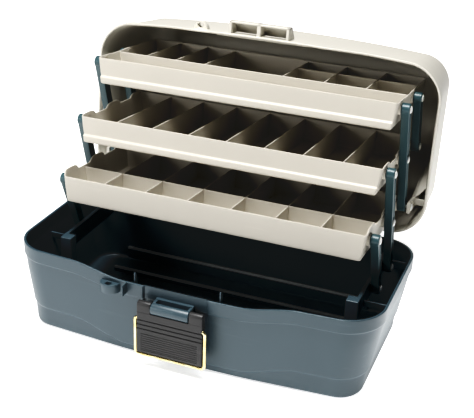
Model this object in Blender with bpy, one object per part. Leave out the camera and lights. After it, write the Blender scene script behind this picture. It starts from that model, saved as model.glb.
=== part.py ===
"""Fishing tackle box with three cantilever trays, shown open.

Frame: metres, +X along the bin, +Y to the rear, +Z up, origin at the middle of the bin's underside.
"""
import math

import bmesh
import bpy
import numpy as np

for old in list(bpy.data.objects):
    bpy.data.objects.remove(old)

# Bin and lid share one plan: a rounded rectangle whose front is bowed and whose rim dips at the latch.
bin_length = 0.474
bin_depth = 0.230
bin_height = 0.112
front_bow = 0.010
plan_corner = 0.045
rim_dip = 0.011
dip_flat = 0.073
dip_end = 0.150
bin_wall = 0.0032
bin_floor = 0.0036
rim_band = 0.017
plinth_height = 0.030
plinth_drop = 0.018
lid_height = 0.136
lid_wall = 0.0026
parting = 0.0004

# Running gap between pieces that touch or turn on each other.
gap = 0.0003

# Trays: sized from the bin by the room they leave in it, with arm pivots at equal steps along each end.
tray_end_room = 0.037
tray_depth_room = 0.058
tray_length = bin_length - 2 * tray_end_room
tray_depth = bin_depth - tray_depth_room
tray_height = 0.0335
tray_gap = 0.0015
tray_wall = 0.0018
tray_floor = 0.0018
tray_corner = 0.005
tray_end_draft = 0.006
tray_front_draft = 0.0015
tray_foot = 0.003
tray_lip = 0.0095
tray_lip_out = 0.0018
lip_edge = 0.0008
divider = 0.0016
divider_drop = 0.0012
divider_fit = 0.0002
pivot_inset = 0.018
pivot_rear = 0.014
pivot_step = (tray_depth - pivot_inset - pivot_rear) / 2
pivot_drop = 0.0094
boss_radius = 0.008
boss_out = 0.0004
crest_half = 0.020
bottom_end_low = 0.001
bottom_end_crest = 0.008
middle_end_low = -0.004
middle_end_crest = 0.002
top_end_low = -0.001
top_end_crest = 0.001
row_front = 0.054
trough_depth = 0.058
left_cell = 0.042
right_cell = 0.055

# Open pose: each tray stands one stage behind and above the one below and leans back a little.
tray_front_room = 0.082
bottom_tray_rise = 0.0708
stage_back = 0.0496
stage_up = 0.06475
tray_tilt = 6.0
lid_open = 97.0
hinge_back = 0.004
hinge_rise = 0.002

# Arms and rivets.
arm_gap = 0.0006
arm_thick = 0.010
arm_width = 0.012
arm_end = 0.0072
shank = 0.0024
rivet_head = 0.0046
rivet_rise = 0.0020
rivet_flat = 0.0016
pivot_play = 0.0010
web_thick = 0.0040
web_gap = 0.0006
web_top = 0.0224
web_head_front = 0.098
web_head_rear = 0.028
web_below = 0.030
shelf_bite = 0.0011
shelf_back = 0.004
slot_margin = 0.0072

# Latch on the bin's front.
latch_x = -0.005
latch_drop = 0.031
latch_out = 0.0105
bridge_half = 0.0245
bridge_tall = 0.015
bridge_bite = 0.0006
lever_half = 0.0425
lever_bottom = 0.019
lever_front = 0.0060
lever_thick = 0.0050
lever_arm_up = 0.0075
lever_arm_root = 0.012
lever_arm_back = 0.0045
latch_pin_radius = 0.0018
wire_radius = 0.0016
bail_drop = 0.0140
bail_below = 0.0035
wire_in = 0.006
leg_gap = 0.0011
keeper_half = 0.041
keeper_out = 0.0160
keeper_down = 0.0085
keeper_up = 0.0045
keeper_bite = 0.0008
pocket_half = 0.0175
pocket_gap = 0.0200
pocket_deep = 0.0100
pocket_rim = 0.0025

# Padlock ears and guide tabs at the front, measured from the rim and the front face.
ear_x = -0.091
bin_ear_radius = 0.013
bin_ear_low = 0.028
bin_ear_high = 0.014
lid_ear_radius = 0.010
lid_ear_low = 0.003
lid_ear_high = 0.013
ear_hole = 0.0038
ear_root = 0.0025
ear_bore_out = 0.0062
tab_x = 0.0555
tab_half = 0.0010
tab_in = 0.0022
tab_deep = 0.0070
tab_down = 0.034
tab_up = 0.0015

# Posts, rails and ribs inside the bin.
rail_thick = 0.005
rail_tall = 0.024
rail_past = 0.020
post_reach = 0.016
post_deep = 0.014
rib_thick = 0.003
rib_front_in = 0.0048
rib_rear_in = 0.0110
rib_front_drop = 0.022
rib_front_back = 0.0150
rib_rear_drop = 0.019
floor_rib = 0.008
floor_rib_end = 0.057
floor_rib_front = 0.055
ledge_up = 0.018
ledge_in = 0.0128
ledge_deep = 0.0038
pin_hole_in = 0.020
pin_hole_out = 0.004

# Hinge knuckles and carry handle.
hinge_station = 0.135
knuckle_radius = 0.005
knuckle_half = 0.014
knuckle_reach = 0.030
rod_radius = 0.0018
handle_half = 0.0615
handle_reach = 0.046
handle_bar = 0.0065
handle_rise = 0.011
handle_pin_radius = 0.0022
grip_corner = 0.014
boss_long = 0.012
boss_half = 0.008

# Values worked out from those above.
half_length = bin_length / 2
half_depth = bin_depth / 2
half_tray = tray_length / 2
bottom_tray_y = tray_front_room - half_depth
latch_y = -half_depth - latch_out
latch_z = bin_height - latch_drop
bail_length = latch_z - bail_drop - lever_bottom + bail_below
hinge_y = half_depth + hinge_back
hinge_z = bin_height + hinge_rise
arm_x = half_tray + boss_out + arm_gap
arm_out = arm_x + arm_thick
head_x = arm_out + gap
web_x = head_x + rivet_rise + web_gap
long_head_x = web_x + web_thick + gap
closed_pitch = tray_height + tray_gap


def turned(point, degrees):
    """Turn a (y, z) pair about +X by the right-hand rule."""
    c = math.cos(math.radians(degrees))
    s = math.sin(math.radians(degrees))
    return np.array([point[0] * c - point[1] * s, point[0] * s + point[1] * c])


def pivot(order):
    """The (y, z) place of a tray's pivot, measured from the tray's front top edge."""
    return np.array([pivot_inset + order * pivot_step, -pivot_drop])


# The arms between trays make parallelograms, so one length and two elevations set them all.
stage = np.array([stage_back, stage_up])
arm_vector = stage - turned((pivot_step, 0), -tray_tilt)
arm_length = math.hypot(arm_vector[0], arm_vector[1])
arm_open = math.degrees(math.atan2(arm_vector[1], -arm_vector[0]))
arm_closed = math.degrees(math.asin(closed_pitch / arm_length))
bottom_open = np.array([bottom_tray_y, bin_height + bottom_tray_rise])
middle_open = bottom_open + stage
top_open = middle_open + stage
second_base = bottom_open + turned(pivot(1), -tray_tilt) - arm_vector


def bottom_at(share):
    """Place and lean of the bottom tray when the lid has closed by the given share."""
    rise = math.radians(arm_open + (arm_closed - arm_open) * share)
    lean = -tray_tilt * (1 - share)
    tip = second_base + arm_length * np.array([-math.cos(rise), math.sin(rise)])
    return tip - turned(pivot(1), lean), lean


def bottom_pivot(order, share):
    """World (y, z) of one pivot of the bottom tray."""
    place, lean = bottom_at(share)
    return place + turned(pivot(order), lean)


def circle_centre(p, q, r):
    """Centre of the circle through three points."""
    rows = np.array([q - p, r - q]) * 2
    sums = np.array([q @ q - p @ p, r @ r - q @ q])
    return np.linalg.solve(rows, sums)


front_base = circle_centre(bottom_pivot(0, 0.0), bottom_pivot(0, 0.5), bottom_pivot(0, 1.0))
front_vector = bottom_pivot(0, 0.0) - front_base
front_arm_length = math.hypot(front_vector[0], front_vector[1])
front_arm_open = math.degrees(math.atan2(front_vector[1], -front_vector[0]))
bottom_closed_z = bottom_at(1.0)[0][1]
rail_top = bottom_closed_z - tray_height - 2 * gap


def material(name, colour, roughness, metallic=0.0):
    """A named material with its colour, roughness and metalness."""
    made = bpy.data.materials.new(name)
    made.use_nodes = True
    shader = made.node_tree.nodes["Principled BSDF"]
    shader.inputs["Base Color"].default_value = (*colour, 1.0)
    shader.inputs["Roughness"].default_value = roughness
    shader.inputs["Metallic"].default_value = metallic
    return made


teal = material("teal_plastic", (0.020, 0.060, 0.075), 0.45)
cream = material("cream_plastic", (0.78, 0.74, 0.64), 0.40)
tray_cream = material("tray_plastic", (0.74, 0.70, 0.58), 0.42)
arm_dark = material("arm_plastic", (0.015, 0.040, 0.048), 0.45)
rivet_white = material("rivet_plastic", (0.85, 0.85, 0.82), 0.35)
black = material("black_plastic", (0.015, 0.015, 0.016), 0.45)
brass = material("brass_wire", (0.75, 0.60, 0.30), 0.28, 1.0)
steel = material("steel_rod", (0.60, 0.60, 0.60), 0.30, 1.0)


def solid(name, bm, look=None, smooth=40.0):
    """An object from closed bodies, faces outward; edges sharper than the angle stay sharp."""
    bmesh.ops.recalc_face_normals(bm, faces=bm.faces)
    mesh = bpy.data.meshes.new(name)
    bm.to_mesh(mesh)
    bm.free()
    made = bpy.data.objects.new(name, mesh)
    bpy.context.scene.collection.objects.link(made)
    if look is not None:
        mesh.materials.append(look)
        mesh.shade_smooth()
        mesh.set_sharp_from_angle(angle=math.radians(smooth))
    return made


def skin(bm, rings):
    """A closed body through rings of equal count, with flat caps on the first and the last."""
    rows = [[bm.verts.new(tuple(float(v) for v in p)) for p in ring] for ring in rings]
    count = len(rows[0])
    for low, high in zip(rows, rows[1:]):
        for i in range(count):
            j = (i + 1) % count
            bm.faces.new((low[i], low[j], high[j], high[i]))
    bm.faces.new(rows[0])
    bm.faces.new(rows[-1])


def box(bm, xs, ys, zs):
    """A box between two values on each axis."""
    corners = [(xs[0], ys[0]), (xs[1], ys[0]), (xs[1], ys[1]), (xs[0], ys[1])]
    skin(bm, [[(x, y, z) for x, y in corners] for z in zs])


def barrel(bm, profile, y, z, sides=24):
    """A round body along X from (x, radius) pairs."""
    turn = np.linspace(0, 2 * math.pi, sides, endpoint=False)
    rings = [[(x, y + r * math.cos(t), z + r * math.sin(t)) for t in turn] for x, r in profile]
    skin(bm, rings)


def plate(bm, outline, xs):
    """A flat plate across X from a (y, z) outline."""
    skin(bm, [[(x, y, z) for y, z in outline] for x in xs])


def tube(bm, path, radius, sides=12):
    """A round bar along a path that lies in a plane of constant Z or of constant Y."""
    path = np.array(path, float)
    along = np.gradient(path, axis=0)
    along /= np.linalg.norm(along, axis=1)[:, None]
    level = np.ptp(path[:, 2]) < np.ptp(path[:, 1])
    flat = np.array([0.0, 0.0, 1.0] if level else [0.0, 1.0, 0.0])
    side = np.cross(along, flat)
    turn = np.linspace(0, 2 * math.pi, sides, endpoint=False)
    rings = []
    for point, out in zip(path, side):
        rings.append([point + radius * (math.cos(t) * out + math.sin(t) * flat) for t in turn])
    skin(bm, rings)


def rounded(path, radius, steps=5):
    """Round the inner corners of a polyline with arcs of one radius, for square corners."""
    points = [np.array(p, float) for p in path]
    out = [points[0]]
    for before, here, after in zip(points, points[1:], points[2:]):
        back = (before - here) / np.linalg.norm(before - here)
        ahead = (after - here) / np.linalg.norm(after - here)
        centre = here + radius * (back + ahead)
        for t in np.linspace(0, math.pi / 2, steps):
            out.append(centre - radius * (math.cos(t) * ahead + math.sin(t) * back))
    out.append(points[-1])
    return out


def gather(wanted):
    """A new mesh holding the bodies that a list of (function, values) pairs makes."""
    bm = bmesh.new()
    for make, values in wanted:
        make(bm, *values)
    return bm


def combine(target, operation, name, bm):
    """Join a set of bodies to the target, or cut them from it."""
    tool = solid(name, bm)
    tool.hide_render = True
    tool.display_type = "WIRE"
    tool.parent = target
    step = target.modifiers.new(name, "BOOLEAN")
    step.operation = operation
    step.solver = "EXACT"
    step.object = tool


def mirrored(values):
    """The same X span on the other side."""
    return (-values[1], -values[0])


# Plan of the bin and lid: points run along the front first, then round the other sides.
front_steps = 26
side_steps = 2
arc_steps = 6


def plan_ring(inset_x, inset_front, inset_rear):
    """The plan with its ends, front and rear moved in; the first points are the front edge."""
    hx = half_length - inset_x
    front = front_bow - half_depth + inset_front
    rear = half_depth - inset_rear
    r = plan_corner - min(inset_x, inset_front + inset_rear, plan_corner / 2)
    points = [(x, front) for x in np.linspace(r - hx, hx - r, front_steps + 1)]
    corners = [(hx - r, front + r, -90), (hx - r, rear - r, 0),
               (r - hx, rear - r, 90), (r - hx, front + r, 180)]
    for cx, cy, start in corners:
        for step in range(1, arc_steps + 1):
            t = math.radians(start + 90 * step / arc_steps)
            points.append((cx + r * math.cos(t), cy + r * math.sin(t)))
        if start == 180:
            break
        nxt = corners[(start // 90 + 2) % 4]
        t = math.radians(start + 90)
        end = (nxt[0] + r * math.cos(t), nxt[1] + r * math.sin(t))
        last = points[-1]
        for step in range(1, side_steps + 1):
            share = step / side_steps
            points.append((last[0] + (end[0] - last[0]) * share, last[1] + (end[1] - last[1]) * share))
    ring = np.array(points[:-1])
    lead = np.clip(ring[:, 1] / front, 0, 1)
    ring[:, 1] -= front_bow * (1 - (ring[:, 0] / hx) ** 2) * lead
    return ring


def sweep(x, flat, end):
    """One in the middle, falling to nothing at the end in a smooth S."""
    t = np.clip((end - np.abs(x)) / (end - flat), 0, 1)
    return t * t * (3 - 2 * t)


def level_ring(z, inset_x, inset_front, inset_rear, dip=0.0):
    """A plan ring at a height, lowered along the front by its own dip."""
    ring = plan_ring(inset_x, inset_front, inset_rear)
    heights = np.full(len(ring), z)
    front = slice(0, front_steps + 1)
    heights[front] -= dip * sweep(ring[front, 0], dip_flat, dip_end)
    return np.column_stack([ring, heights])


# Bin: a drafted shell with a plinth, a proud rim band and the seats for arms, latch and hinge.
draft_x = 0.0125
draft_front = 0.0030
draft_rear = 0.0040
step_in = 0.0018
plinth_in = 0.0030
foot_round = 0.005
foot_in_x = 0.002
foot_in_y = 0.001
band_low = bin_height - rim_band
shell_bin = bmesh.new()
foot_x = draft_x + plinth_in + foot_in_x
foot_front = draft_front + plinth_in + foot_in_y
foot_rear = draft_rear + plinth_in + foot_in_y
floor_in = bin_wall + foot_round / 2
skin(shell_bin, [
    level_ring(0.0, foot_x + foot_round, foot_front + foot_round, foot_rear + foot_round),
    level_ring(foot_round * 0.3, foot_x + foot_round * 0.3, foot_front + foot_round * 0.3,
               foot_rear + foot_round * 0.3),
    level_ring(foot_round, foot_x, foot_front, foot_rear),
    level_ring(plinth_height - plinth_in, draft_x + plinth_in, draft_front + plinth_in,
               draft_rear + plinth_in, plinth_drop),
    level_ring(plinth_height, draft_x, draft_front, draft_rear, plinth_drop),
    level_ring(band_low - step_in, step_in, step_in, step_in, rim_dip),
    level_ring(band_low, 0, 0, 0, rim_dip),
    level_ring(bin_height, 0, 0, 0, rim_dip),
    level_ring(bin_height, bin_wall, bin_wall, bin_wall, rim_dip),
    level_ring(band_low, bin_wall + step_in, bin_wall + step_in, bin_wall + step_in, rim_dip),
    level_ring(bin_floor + foot_round, foot_x + bin_wall, foot_front + bin_wall, foot_rear + bin_wall),
    level_ring(bin_floor, foot_x + floor_in + foot_round, foot_front + floor_in + foot_round,
               foot_rear + floor_in + foot_round),
])
base_bin = solid("base_bin", shell_bin, teal)

# Knuckles alternate along the hinge axis: the lid's outside, the bin's in the middle.
lid_spans = []
bin_spans = []
for centre in (-hinge_station, hinge_station):
    bin_spans.append((centre - knuckle_half, centre + knuckle_half))
    lid_spans.append((centre - knuckle_reach, centre - knuckle_half - gap))
    lid_spans.append((centre + knuckle_half + gap, centre + knuckle_reach))
relief = knuckle_radius + 2 * gap


def knuckle_relief(spans):
    """Round clearance about the hinge axis, over the other piece's knuckles."""
    return gather([(barrel, ([(a - gap, relief), (b + gap, relief)], hinge_y, hinge_z))
                   for a, b in spans])


def knuckle_barrels(spans):
    """Round knuckles about the hinge axis."""
    return gather([(barrel, ([(a, knuckle_radius), (b, knuckle_radius)], hinge_y, hinge_z))
                   for a, b in spans])


def hinge_bores():
    """Holes for the hinge rods."""
    bore = rod_radius + gap
    reach = knuckle_reach + 2 * gap
    stations = (-hinge_station, hinge_station)
    return gather([(barrel, ([(c - reach, bore), (c + reach, bore)], hinge_y, hinge_z)) for c in stations])


knuckle_inner = half_depth - bin_wall + 2 * gap
combine(base_bin, "DIFFERENCE", "bin_knuckle_relief", knuckle_relief(lid_spans))
combine(base_bin, "UNION", "bin_knuckle_arms", gather(
    [(box, (span, (knuckle_inner, hinge_y), (bin_height - rim_band, bin_height - gap)))
     for span in bin_spans]))
combine(base_bin, "UNION", "bin_knuckles", knuckle_barrels(bin_spans))

# Posts and rails carry the closed bottom tray; the rails hold the lowest arm pivots.
rail_x = (half_tray - boss_out - rail_thick, half_tray - boss_out)
post_x = (half_tray - post_reach, half_tray - boss_out)
post_y = (bottom_tray_y - post_deep, bottom_tray_y)
rail_y = (post_y[0] + post_deep / 2, second_base[0] + rail_past)
rail_low = rail_top - rail_tall
rib_rear = rail_y[1] - rib_thick
rib_front_top = bin_height - rib_front_drop
rib_rear_top = bin_height - rib_rear_drop
posts = [(box, (post_x, post_y, (bin_floor / 2, rail_top))),
         (box, (mirrored(post_x), post_y, (bin_floor / 2, rail_top)))]
rails = [(box, (rail_x, rail_y, (rail_low, rail_top - gap))),
         (box, (mirrored(rail_x), rail_y, (rail_low, rail_top - gap)))]
ribs = []
for top, front, short in ((rib_front_top, bottom_tray_y + rib_front_back, rib_front_in),
                          (rib_rear_top, rib_rear, rib_rear_in)):
    span = (rail_x[0] + rib_thick, half_length - short)
    ribs.append((box, (span, (front, front + rib_thick - gap), (rail_low + rib_thick, top))))
    ribs.append((box, (mirrored(span), (front, front + rib_thick - gap), (rail_low + rib_thick, top))))
floor_rib_half = half_length - floor_rib_end
floor_span = (-floor_rib_half, floor_rib_half)
floor_rib_y = half_depth - floor_rib_front
ribs.append((box, (floor_span, (floor_rib_y, floor_rib_y + rib_thick), (bin_floor / 2, bin_floor + floor_rib))))
ledge_y = half_depth - ledge_in
ribs.append((box, (floor_span, (ledge_y, ledge_y + ledge_deep), (bin_floor / 2, bin_floor + ledge_up))))
combine(base_bin, "UNION", "bin_posts", gather(posts))
combine(base_bin, "UNION", "bin_rails", gather(rails))
combine(base_bin, "UNION", "bin_ribs", gather(ribs))


def pads(places, inner):
    """Round pivot pads at both ends, from an inner face out to the arms."""
    span = (inner, half_tray + boss_out)
    out = []
    for y, z in places:
        out.append((barrel, ([(span[0], boss_radius), (span[1], boss_radius)], y, z)))
        out.append((barrel, ([(-span[1], boss_radius), (-span[0], boss_radius)], y, z)))
    return gather(out)


def pin_holes(places, radius=shank + gap):
    """Holes for rivet shanks through both ends."""
    reach = (half_tray - pin_hole_in, half_tray + pin_hole_out)
    out = []
    for y, z in places:
        out.append((barrel, ([(reach[0], radius), (reach[1], radius)], y, z, 12)))
        out.append((barrel, ([(-reach[1], radius), (-reach[0], radius)], y, z, 12)))
    return gather(out)


base_pivots = [front_base, second_base]
combine(base_bin, "UNION", "bin_pads", pads(base_pivots, rail_x[0] + gap))
combine(base_bin, "DIFFERENCE", "bin_pin_holes", pin_holes(base_pivots))

# Front fittings: latch bridge, padlock ear and two tabs that guide the lid.
wall_front = draft_front - half_depth
bridge_y = (latch_y, wall_front - bridge_bite)
bridge_radius = bridge_tall / 2
bridge_z = (latch_z - bridge_radius, latch_z + bridge_radius)
ear_front = ear_root - half_depth
ear_bore_y = ear_front - ear_bore_out
tab_front = bin_wall + tab_in - half_depth
tab_y = (tab_front, tab_front + tab_deep)
tab_z = (bin_height - tab_down, bin_height + tab_up)


def ear(bm, radius, z_low, z_high):
    """A half-round tab standing out of the front, seen from above."""
    turn = np.linspace(math.pi, 2 * math.pi, 14)
    outline = [(ear_x + radius * math.cos(t), ear_front + radius * math.sin(t)) for t in turn]
    skin(bm, [[(x, y, z) for x, y in outline] for z in (z_low, z_high)])


def ear_bore(bm, z_low, z_high):
    """The padlock hole, straight down through an ear."""
    turn = np.linspace(0, 2 * math.pi, 16, endpoint=False)
    outline = [(ear_x + ear_hole * math.cos(t), ear_bore_y + ear_hole * math.sin(t)) for t in turn]
    skin(bm, [[(x, y, z) for x, y in outline] for z in (z_low, z_high)])


bin_ear_z = (bin_height - bin_ear_low, bin_height - bin_ear_high)
lid_ear_z = (bin_height + lid_ear_low, bin_height + lid_ear_high)
bridge_x = (latch_x - bridge_half, latch_x + bridge_half)
fittings = [(box, (bridge_x, bridge_y, bridge_z)), (ear, (bin_ear_radius, *bin_ear_z))]
for side in (latch_x - tab_x, latch_x + tab_x):
    fittings.append((box, ((side - tab_half, side + tab_half), tab_y, tab_z)))
combine(base_bin, "UNION", "bin_front_fittings", gather(fittings))
combine(base_bin, "UNION", "bin_bridge_nose", gather(
    [(barrel, ([(x, bridge_radius) for x in bridge_x], latch_y, latch_z))]))
latch_hole = latch_pin_radius + gap
bin_bores = [(ear_bore, (bin_ear_z[0] - gap, bin_ear_z[1] + gap)),
             (barrel, ([(bridge_x[0] - gap, latch_hole), (bridge_x[1] + gap, latch_hole)],
                       latch_y, latch_z, 12))]
combine(base_bin, "DIFFERENCE", "bin_bores", gather(bin_bores))
combine(base_bin, "DIFFERENCE", "bin_hinge_bores", hinge_bores())

# Lid: drawn shut on the bin, in a frame whose origin is the hinge axis, then turned open.
lid_band = 0.012
lid_draft_x = 0.0090
lid_draft_front = 0.0045
lid_draft_rear = 0.0030
lid_edge = 0.030
edge_flat = 0.92
band_draft = 0.12
band_dip = 0.7
shell_dip = 0.4
lid_shoulder = lid_height - lid_edge


def lid_ring(height, share_in, extra, dip=0.0):
    """A lid ring at a height above the parting, drafted by a share and moved in a little more."""
    ring = level_ring(bin_height + parting + height, lid_draft_x * share_in + extra,
                      lid_draft_front * share_in + extra, lid_draft_rear * share_in + extra, dip)
    return ring - np.array([0.0, hinge_y, hinge_z])


def lid_edge_ring(angle, inset):
    """A ring on the rounded top edge, at an angle from its shoulder, moved in from the outside."""
    r = lid_edge - inset
    t = math.radians(angle)
    return lid_ring(lid_shoulder + r * math.sin(t), 1.0, inset + r * (1 - math.cos(t)) * edge_flat)


shell_lid = bmesh.new()
edge_angles = (0, 30, 60, 90)
skin(shell_lid, [lid_edge_ring(a, 0.0) for a in reversed(edge_angles)] + [
    lid_ring(lid_band + step_in, band_draft, step_in, rim_dip * shell_dip),
    lid_ring(lid_band, 0.0, 0.0, rim_dip * band_dip),
    lid_ring(0.0, 0.0, 0.0, rim_dip),
    lid_ring(0.0, 0.0, lid_wall, rim_dip),
    lid_ring(lid_band, band_draft, step_in + lid_wall, rim_dip * shell_dip),
] + [lid_edge_ring(a, lid_wall) for a in edge_angles])
lid_shell = solid("lid_shell", shell_lid, cream)


def shifted(bm):
    """Move bodies drawn in the closed world frame to the hinge frame."""
    bmesh.ops.translate(bm, vec=(0.0, -hinge_y, -hinge_z), verts=bm.verts)
    return bm


combine(lid_shell, "DIFFERENCE", "lid_knuckle_relief", shifted(knuckle_relief(bin_spans)))
lid_arm_y = (knuckle_inner - hinge_y, 0.0)
lid_arm_z = (parting + gap - hinge_rise, lid_band - hinge_rise)
combine(lid_shell, "UNION", "lid_knuckle_arms", gather(
    [(box, (span, lid_arm_y, lid_arm_z)) for span in lid_spans]))
combine(lid_shell, "UNION", "lid_knuckles", shifted(knuckle_barrels(lid_spans)))

# Lift webs: each holds the long rear pin of the bottom tray in a slot along the pin's path, and
# ends in the middle of the lid's wall, so that no corner of it shows outside.
slot_path = []
for share in np.linspace(0, 1, 9):
    pin_reach = bottom_pivot(2, share) - np.array([hinge_y, hinge_z])
    slot_path.append(turned(pin_reach, lid_open * (1 - share)))
slot_path = np.array(slot_path)


def slot_outline(half):
    """Outline of the space that a disc sweeps along the pin's path, without points inside it."""
    step = np.gradient(slot_path, axis=0)
    step /= np.linalg.norm(step, axis=1)[:, None]
    across = np.column_stack([-step[:, 1], step[:, 0]])
    out = list(slot_path + half * across)
    for t in np.linspace(0, math.pi, 9)[1:-1]:
        out.append(slot_path[-1] + half * (math.cos(t) * across[-1] + math.sin(t) * step[-1]))
    out += list((slot_path - half * across)[::-1])
    for t in np.linspace(0, math.pi, 9)[1:-1]:
        out.append(slot_path[0] - half * (math.cos(t) * across[0] + math.sin(t) * step[0]))
    out = np.array(out)
    runs = np.diff(slot_path, axis=0)
    offsets = out[:, None] - slot_path[:-1]
    shares = np.clip((offsets * runs).sum(axis=2) / (runs * runs).sum(axis=1), 0, 1)
    away = np.linalg.norm(offsets - shares[..., None] * runs, axis=2).min(axis=1)
    return out[away > 0.94 * half]


web_head = lid_shoulder + web_top + parting - hinge_rise
web_low = slot_path[0][1] - slot_margin
web_mid = slot_path[-1][1] + slot_margin
web_front = slot_path[-1][0] - slot_margin
web_rear = slot_path[0][0] + slot_margin
web_outline = [(slot_path[0][0] - slot_margin, web_low), (web_rear, web_low), (web_rear, web_mid),
               (-web_head_rear, web_head), (-web_head_front, web_head), (web_front, web_mid)]
web_span = (web_x, web_x + web_thick)
shelf_out = half_length - step_in - lid_wall - shelf_bite
shelf_y = (web_front, web_rear - shelf_back)
shelf_z = (web_mid, web_mid + rib_thick)
webs = [(plate, (web_outline, web_span)), (plate, (web_outline, mirrored(web_span)))]
shelves = [(box, ((web_x + gap, shelf_out), shelf_y, shelf_z)),
           (box, (mirrored((web_x + gap, shelf_out)), shelf_y, shelf_z))]
combine(lid_shell, "UNION", "lid_webs", gather(webs))
web_limit = bmesh.new()
skin(web_limit, [lid_edge_ring(a, lid_wall / 2) for a in reversed(edge_angles)] + [
    lid_ring(0.0, 0.0, lid_wall / 2), lid_ring(-web_below, 0.0, lid_wall / 2)])
combine(bpy.data.objects["lid_webs"], "INTERSECT", "lid_web_limit", web_limit)
combine(lid_shell, "UNION", "lid_web_shelves", gather(shelves))
slot_half = shank + 2 * gap
slot_span = (web_x - gap, web_x + web_thick + gap)
combine(lid_shell, "DIFFERENCE", "lid_web_slots", gather(
    [(plate, (slot_outline(slot_half), span)) for span in (slot_span, mirrored(slot_span))]))

# Keeper with two pockets from below, padlock ear and handle bosses stand out of the lid.
keeper_z = (bin_height - keeper_down, bin_height + keeper_up)
keeper_y = (-half_depth - keeper_out, keeper_bite - half_depth)
boss_x = (handle_half + handle_bar + 2 * gap, handle_half + handle_bar + boss_long)
lid_top = bin_height + parting + lid_height
handle_z = lid_top + handle_rise
bosses = [(box, ((latch_x - keeper_half, latch_x + keeper_half), keeper_y, keeper_z)),
          (ear, (lid_ear_radius, *lid_ear_z))]
boss_z = (lid_top - lid_wall / 2, handle_z + boss_half * 0.75)
for span in (boss_x, mirrored(boss_x)):
    bosses.append((box, (span, (-boss_half, boss_half), boss_z)))
combine(lid_shell, "UNION", "lid_bosses", shifted(gather(bosses)))
lid_cuts = [(ear_bore, (lid_ear_z[0] - gap, lid_ear_z[1] + gap))]
for centre in (latch_x - pocket_gap, latch_x + pocket_gap):
    lid_cuts.append((box, ((centre - pocket_half, centre + pocket_half),
                           (keeper_y[0] + pocket_rim, -half_depth - keeper_bite),
                           (keeper_z[0] - gap, keeper_z[0] + pocket_deep))))
handle_bore = handle_pin_radius + gap
for span in (boss_x, mirrored(boss_x)):
    ends = [(span[0] - gap, handle_bore), (span[1] + gap, handle_bore)]
    lid_cuts.append((barrel, (ends, 0.0, handle_z, 16)))
combine(lid_shell, "DIFFERENCE", "lid_cuts", shifted(gather(lid_cuts)))
combine(lid_shell, "DIFFERENCE", "lid_hinge_bores", shifted(hinge_bores()))


def put(made, y, z, degrees, x=0.0):
    """Place a piece drawn about its own axis."""
    made.location = (x, y, z)
    made.rotation_euler = (math.radians(degrees), 0.0, 0.0)


put(lid_shell, hinge_y, hinge_z, -lid_open)

# Hinge rods, one per station.
for name, centre in (("hinge_rod_left", -hinge_station), ("hinge_rod_right", hinge_station)):
    rod = bmesh.new()
    ends = (centre - knuckle_reach, centre + knuckle_reach)
    barrel(rod, [(ends[0], rod_radius), (ends[1], rod_radius)], 0.0, 0.0, 16)
    put(solid(name, rod, steel), hinge_y, hinge_z, 0.0)

# Trays: thin shells with bosses at the arm pivots and their own end wall tops; crossed dividers are set in.
tray_end_steps = 20
divider_top = -divider_drop
pad_inner = half_tray - tray_end_draft / 2 - tray_wall


def tray_ring(z, inset_end, inset_front, inset_rear, low, crest, count):
    """A tray ring whose end walls carry a raised crest at each of the first pivots."""
    hx = half_tray - inset_end
    front = inset_front
    rear = tray_depth - inset_rear
    r = tray_corner - min(inset_end, tray_corner * 0.6)
    side = np.linspace(front + r, rear - r, tray_end_steps + 1)
    points = [(-hx + r, front), (hx - r, front)]
    arcs = [(hx - r, front + r, -90), (hx - r, rear - r, 0),
            (r - hx, rear - r, 90), (r - hx, front + r, 180)]
    for order, (cx, cy, start) in enumerate(arcs):
        for t in np.radians(np.linspace(start, start + 90, 5)[1:-1]):
            points.append((cx + r * math.cos(t), cy + r * math.sin(t)))
        if order == 0:
            points += [(hx, y) for y in side]
        if order == 1:
            points += [(hx - r, rear), (r - hx, rear)]
        if order == 2:
            points += [(-hx, y) for y in side[::-1]]
    ring = np.array(points)
    heights = np.full(len(ring), float(z))
    if count:
        ends = np.abs(ring[:, 0]) > hx - r / 2
        rise = np.full(len(ring), low)
        for order in range(count):
            near = np.clip(1 - ((ring[:, 1] - pivot(order)[0]) / crest_half) ** 2, 0, 1)
            rise = np.maximum(rise, low + (crest - low) * near * (2 - near))
        fade = np.clip(np.minimum(ring[:, 1] - front, rear - ring[:, 1]) / r, 0, 1)
        heights += np.where(ends, rise * fade, 0.0)
    return np.column_stack([ring, heights])


def slant(bm, low_x, top_x, low_y, top_y, zs):
    """A wall between two heights whose four sides may lean."""
    rings = []
    for z, xs, ys in zip(zs, (low_x, top_x), (low_y, top_y)):
        rings.append([(xs[0], ys[0], z), (xs[1], ys[0], z), (xs[1], ys[1], z), (xs[0], ys[1], z)])
    skin(bm, rings)


def inside(z):
    """Half-length, front and rear of a tray's drafted inside at a height below the front edge."""
    share = -z / (tray_height - tray_floor)
    near = tray_wall + tray_front_draft * share + divider_fit
    return half_tray - tray_wall - tray_end_draft * share - divider_fit, near, tray_depth - near


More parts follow.
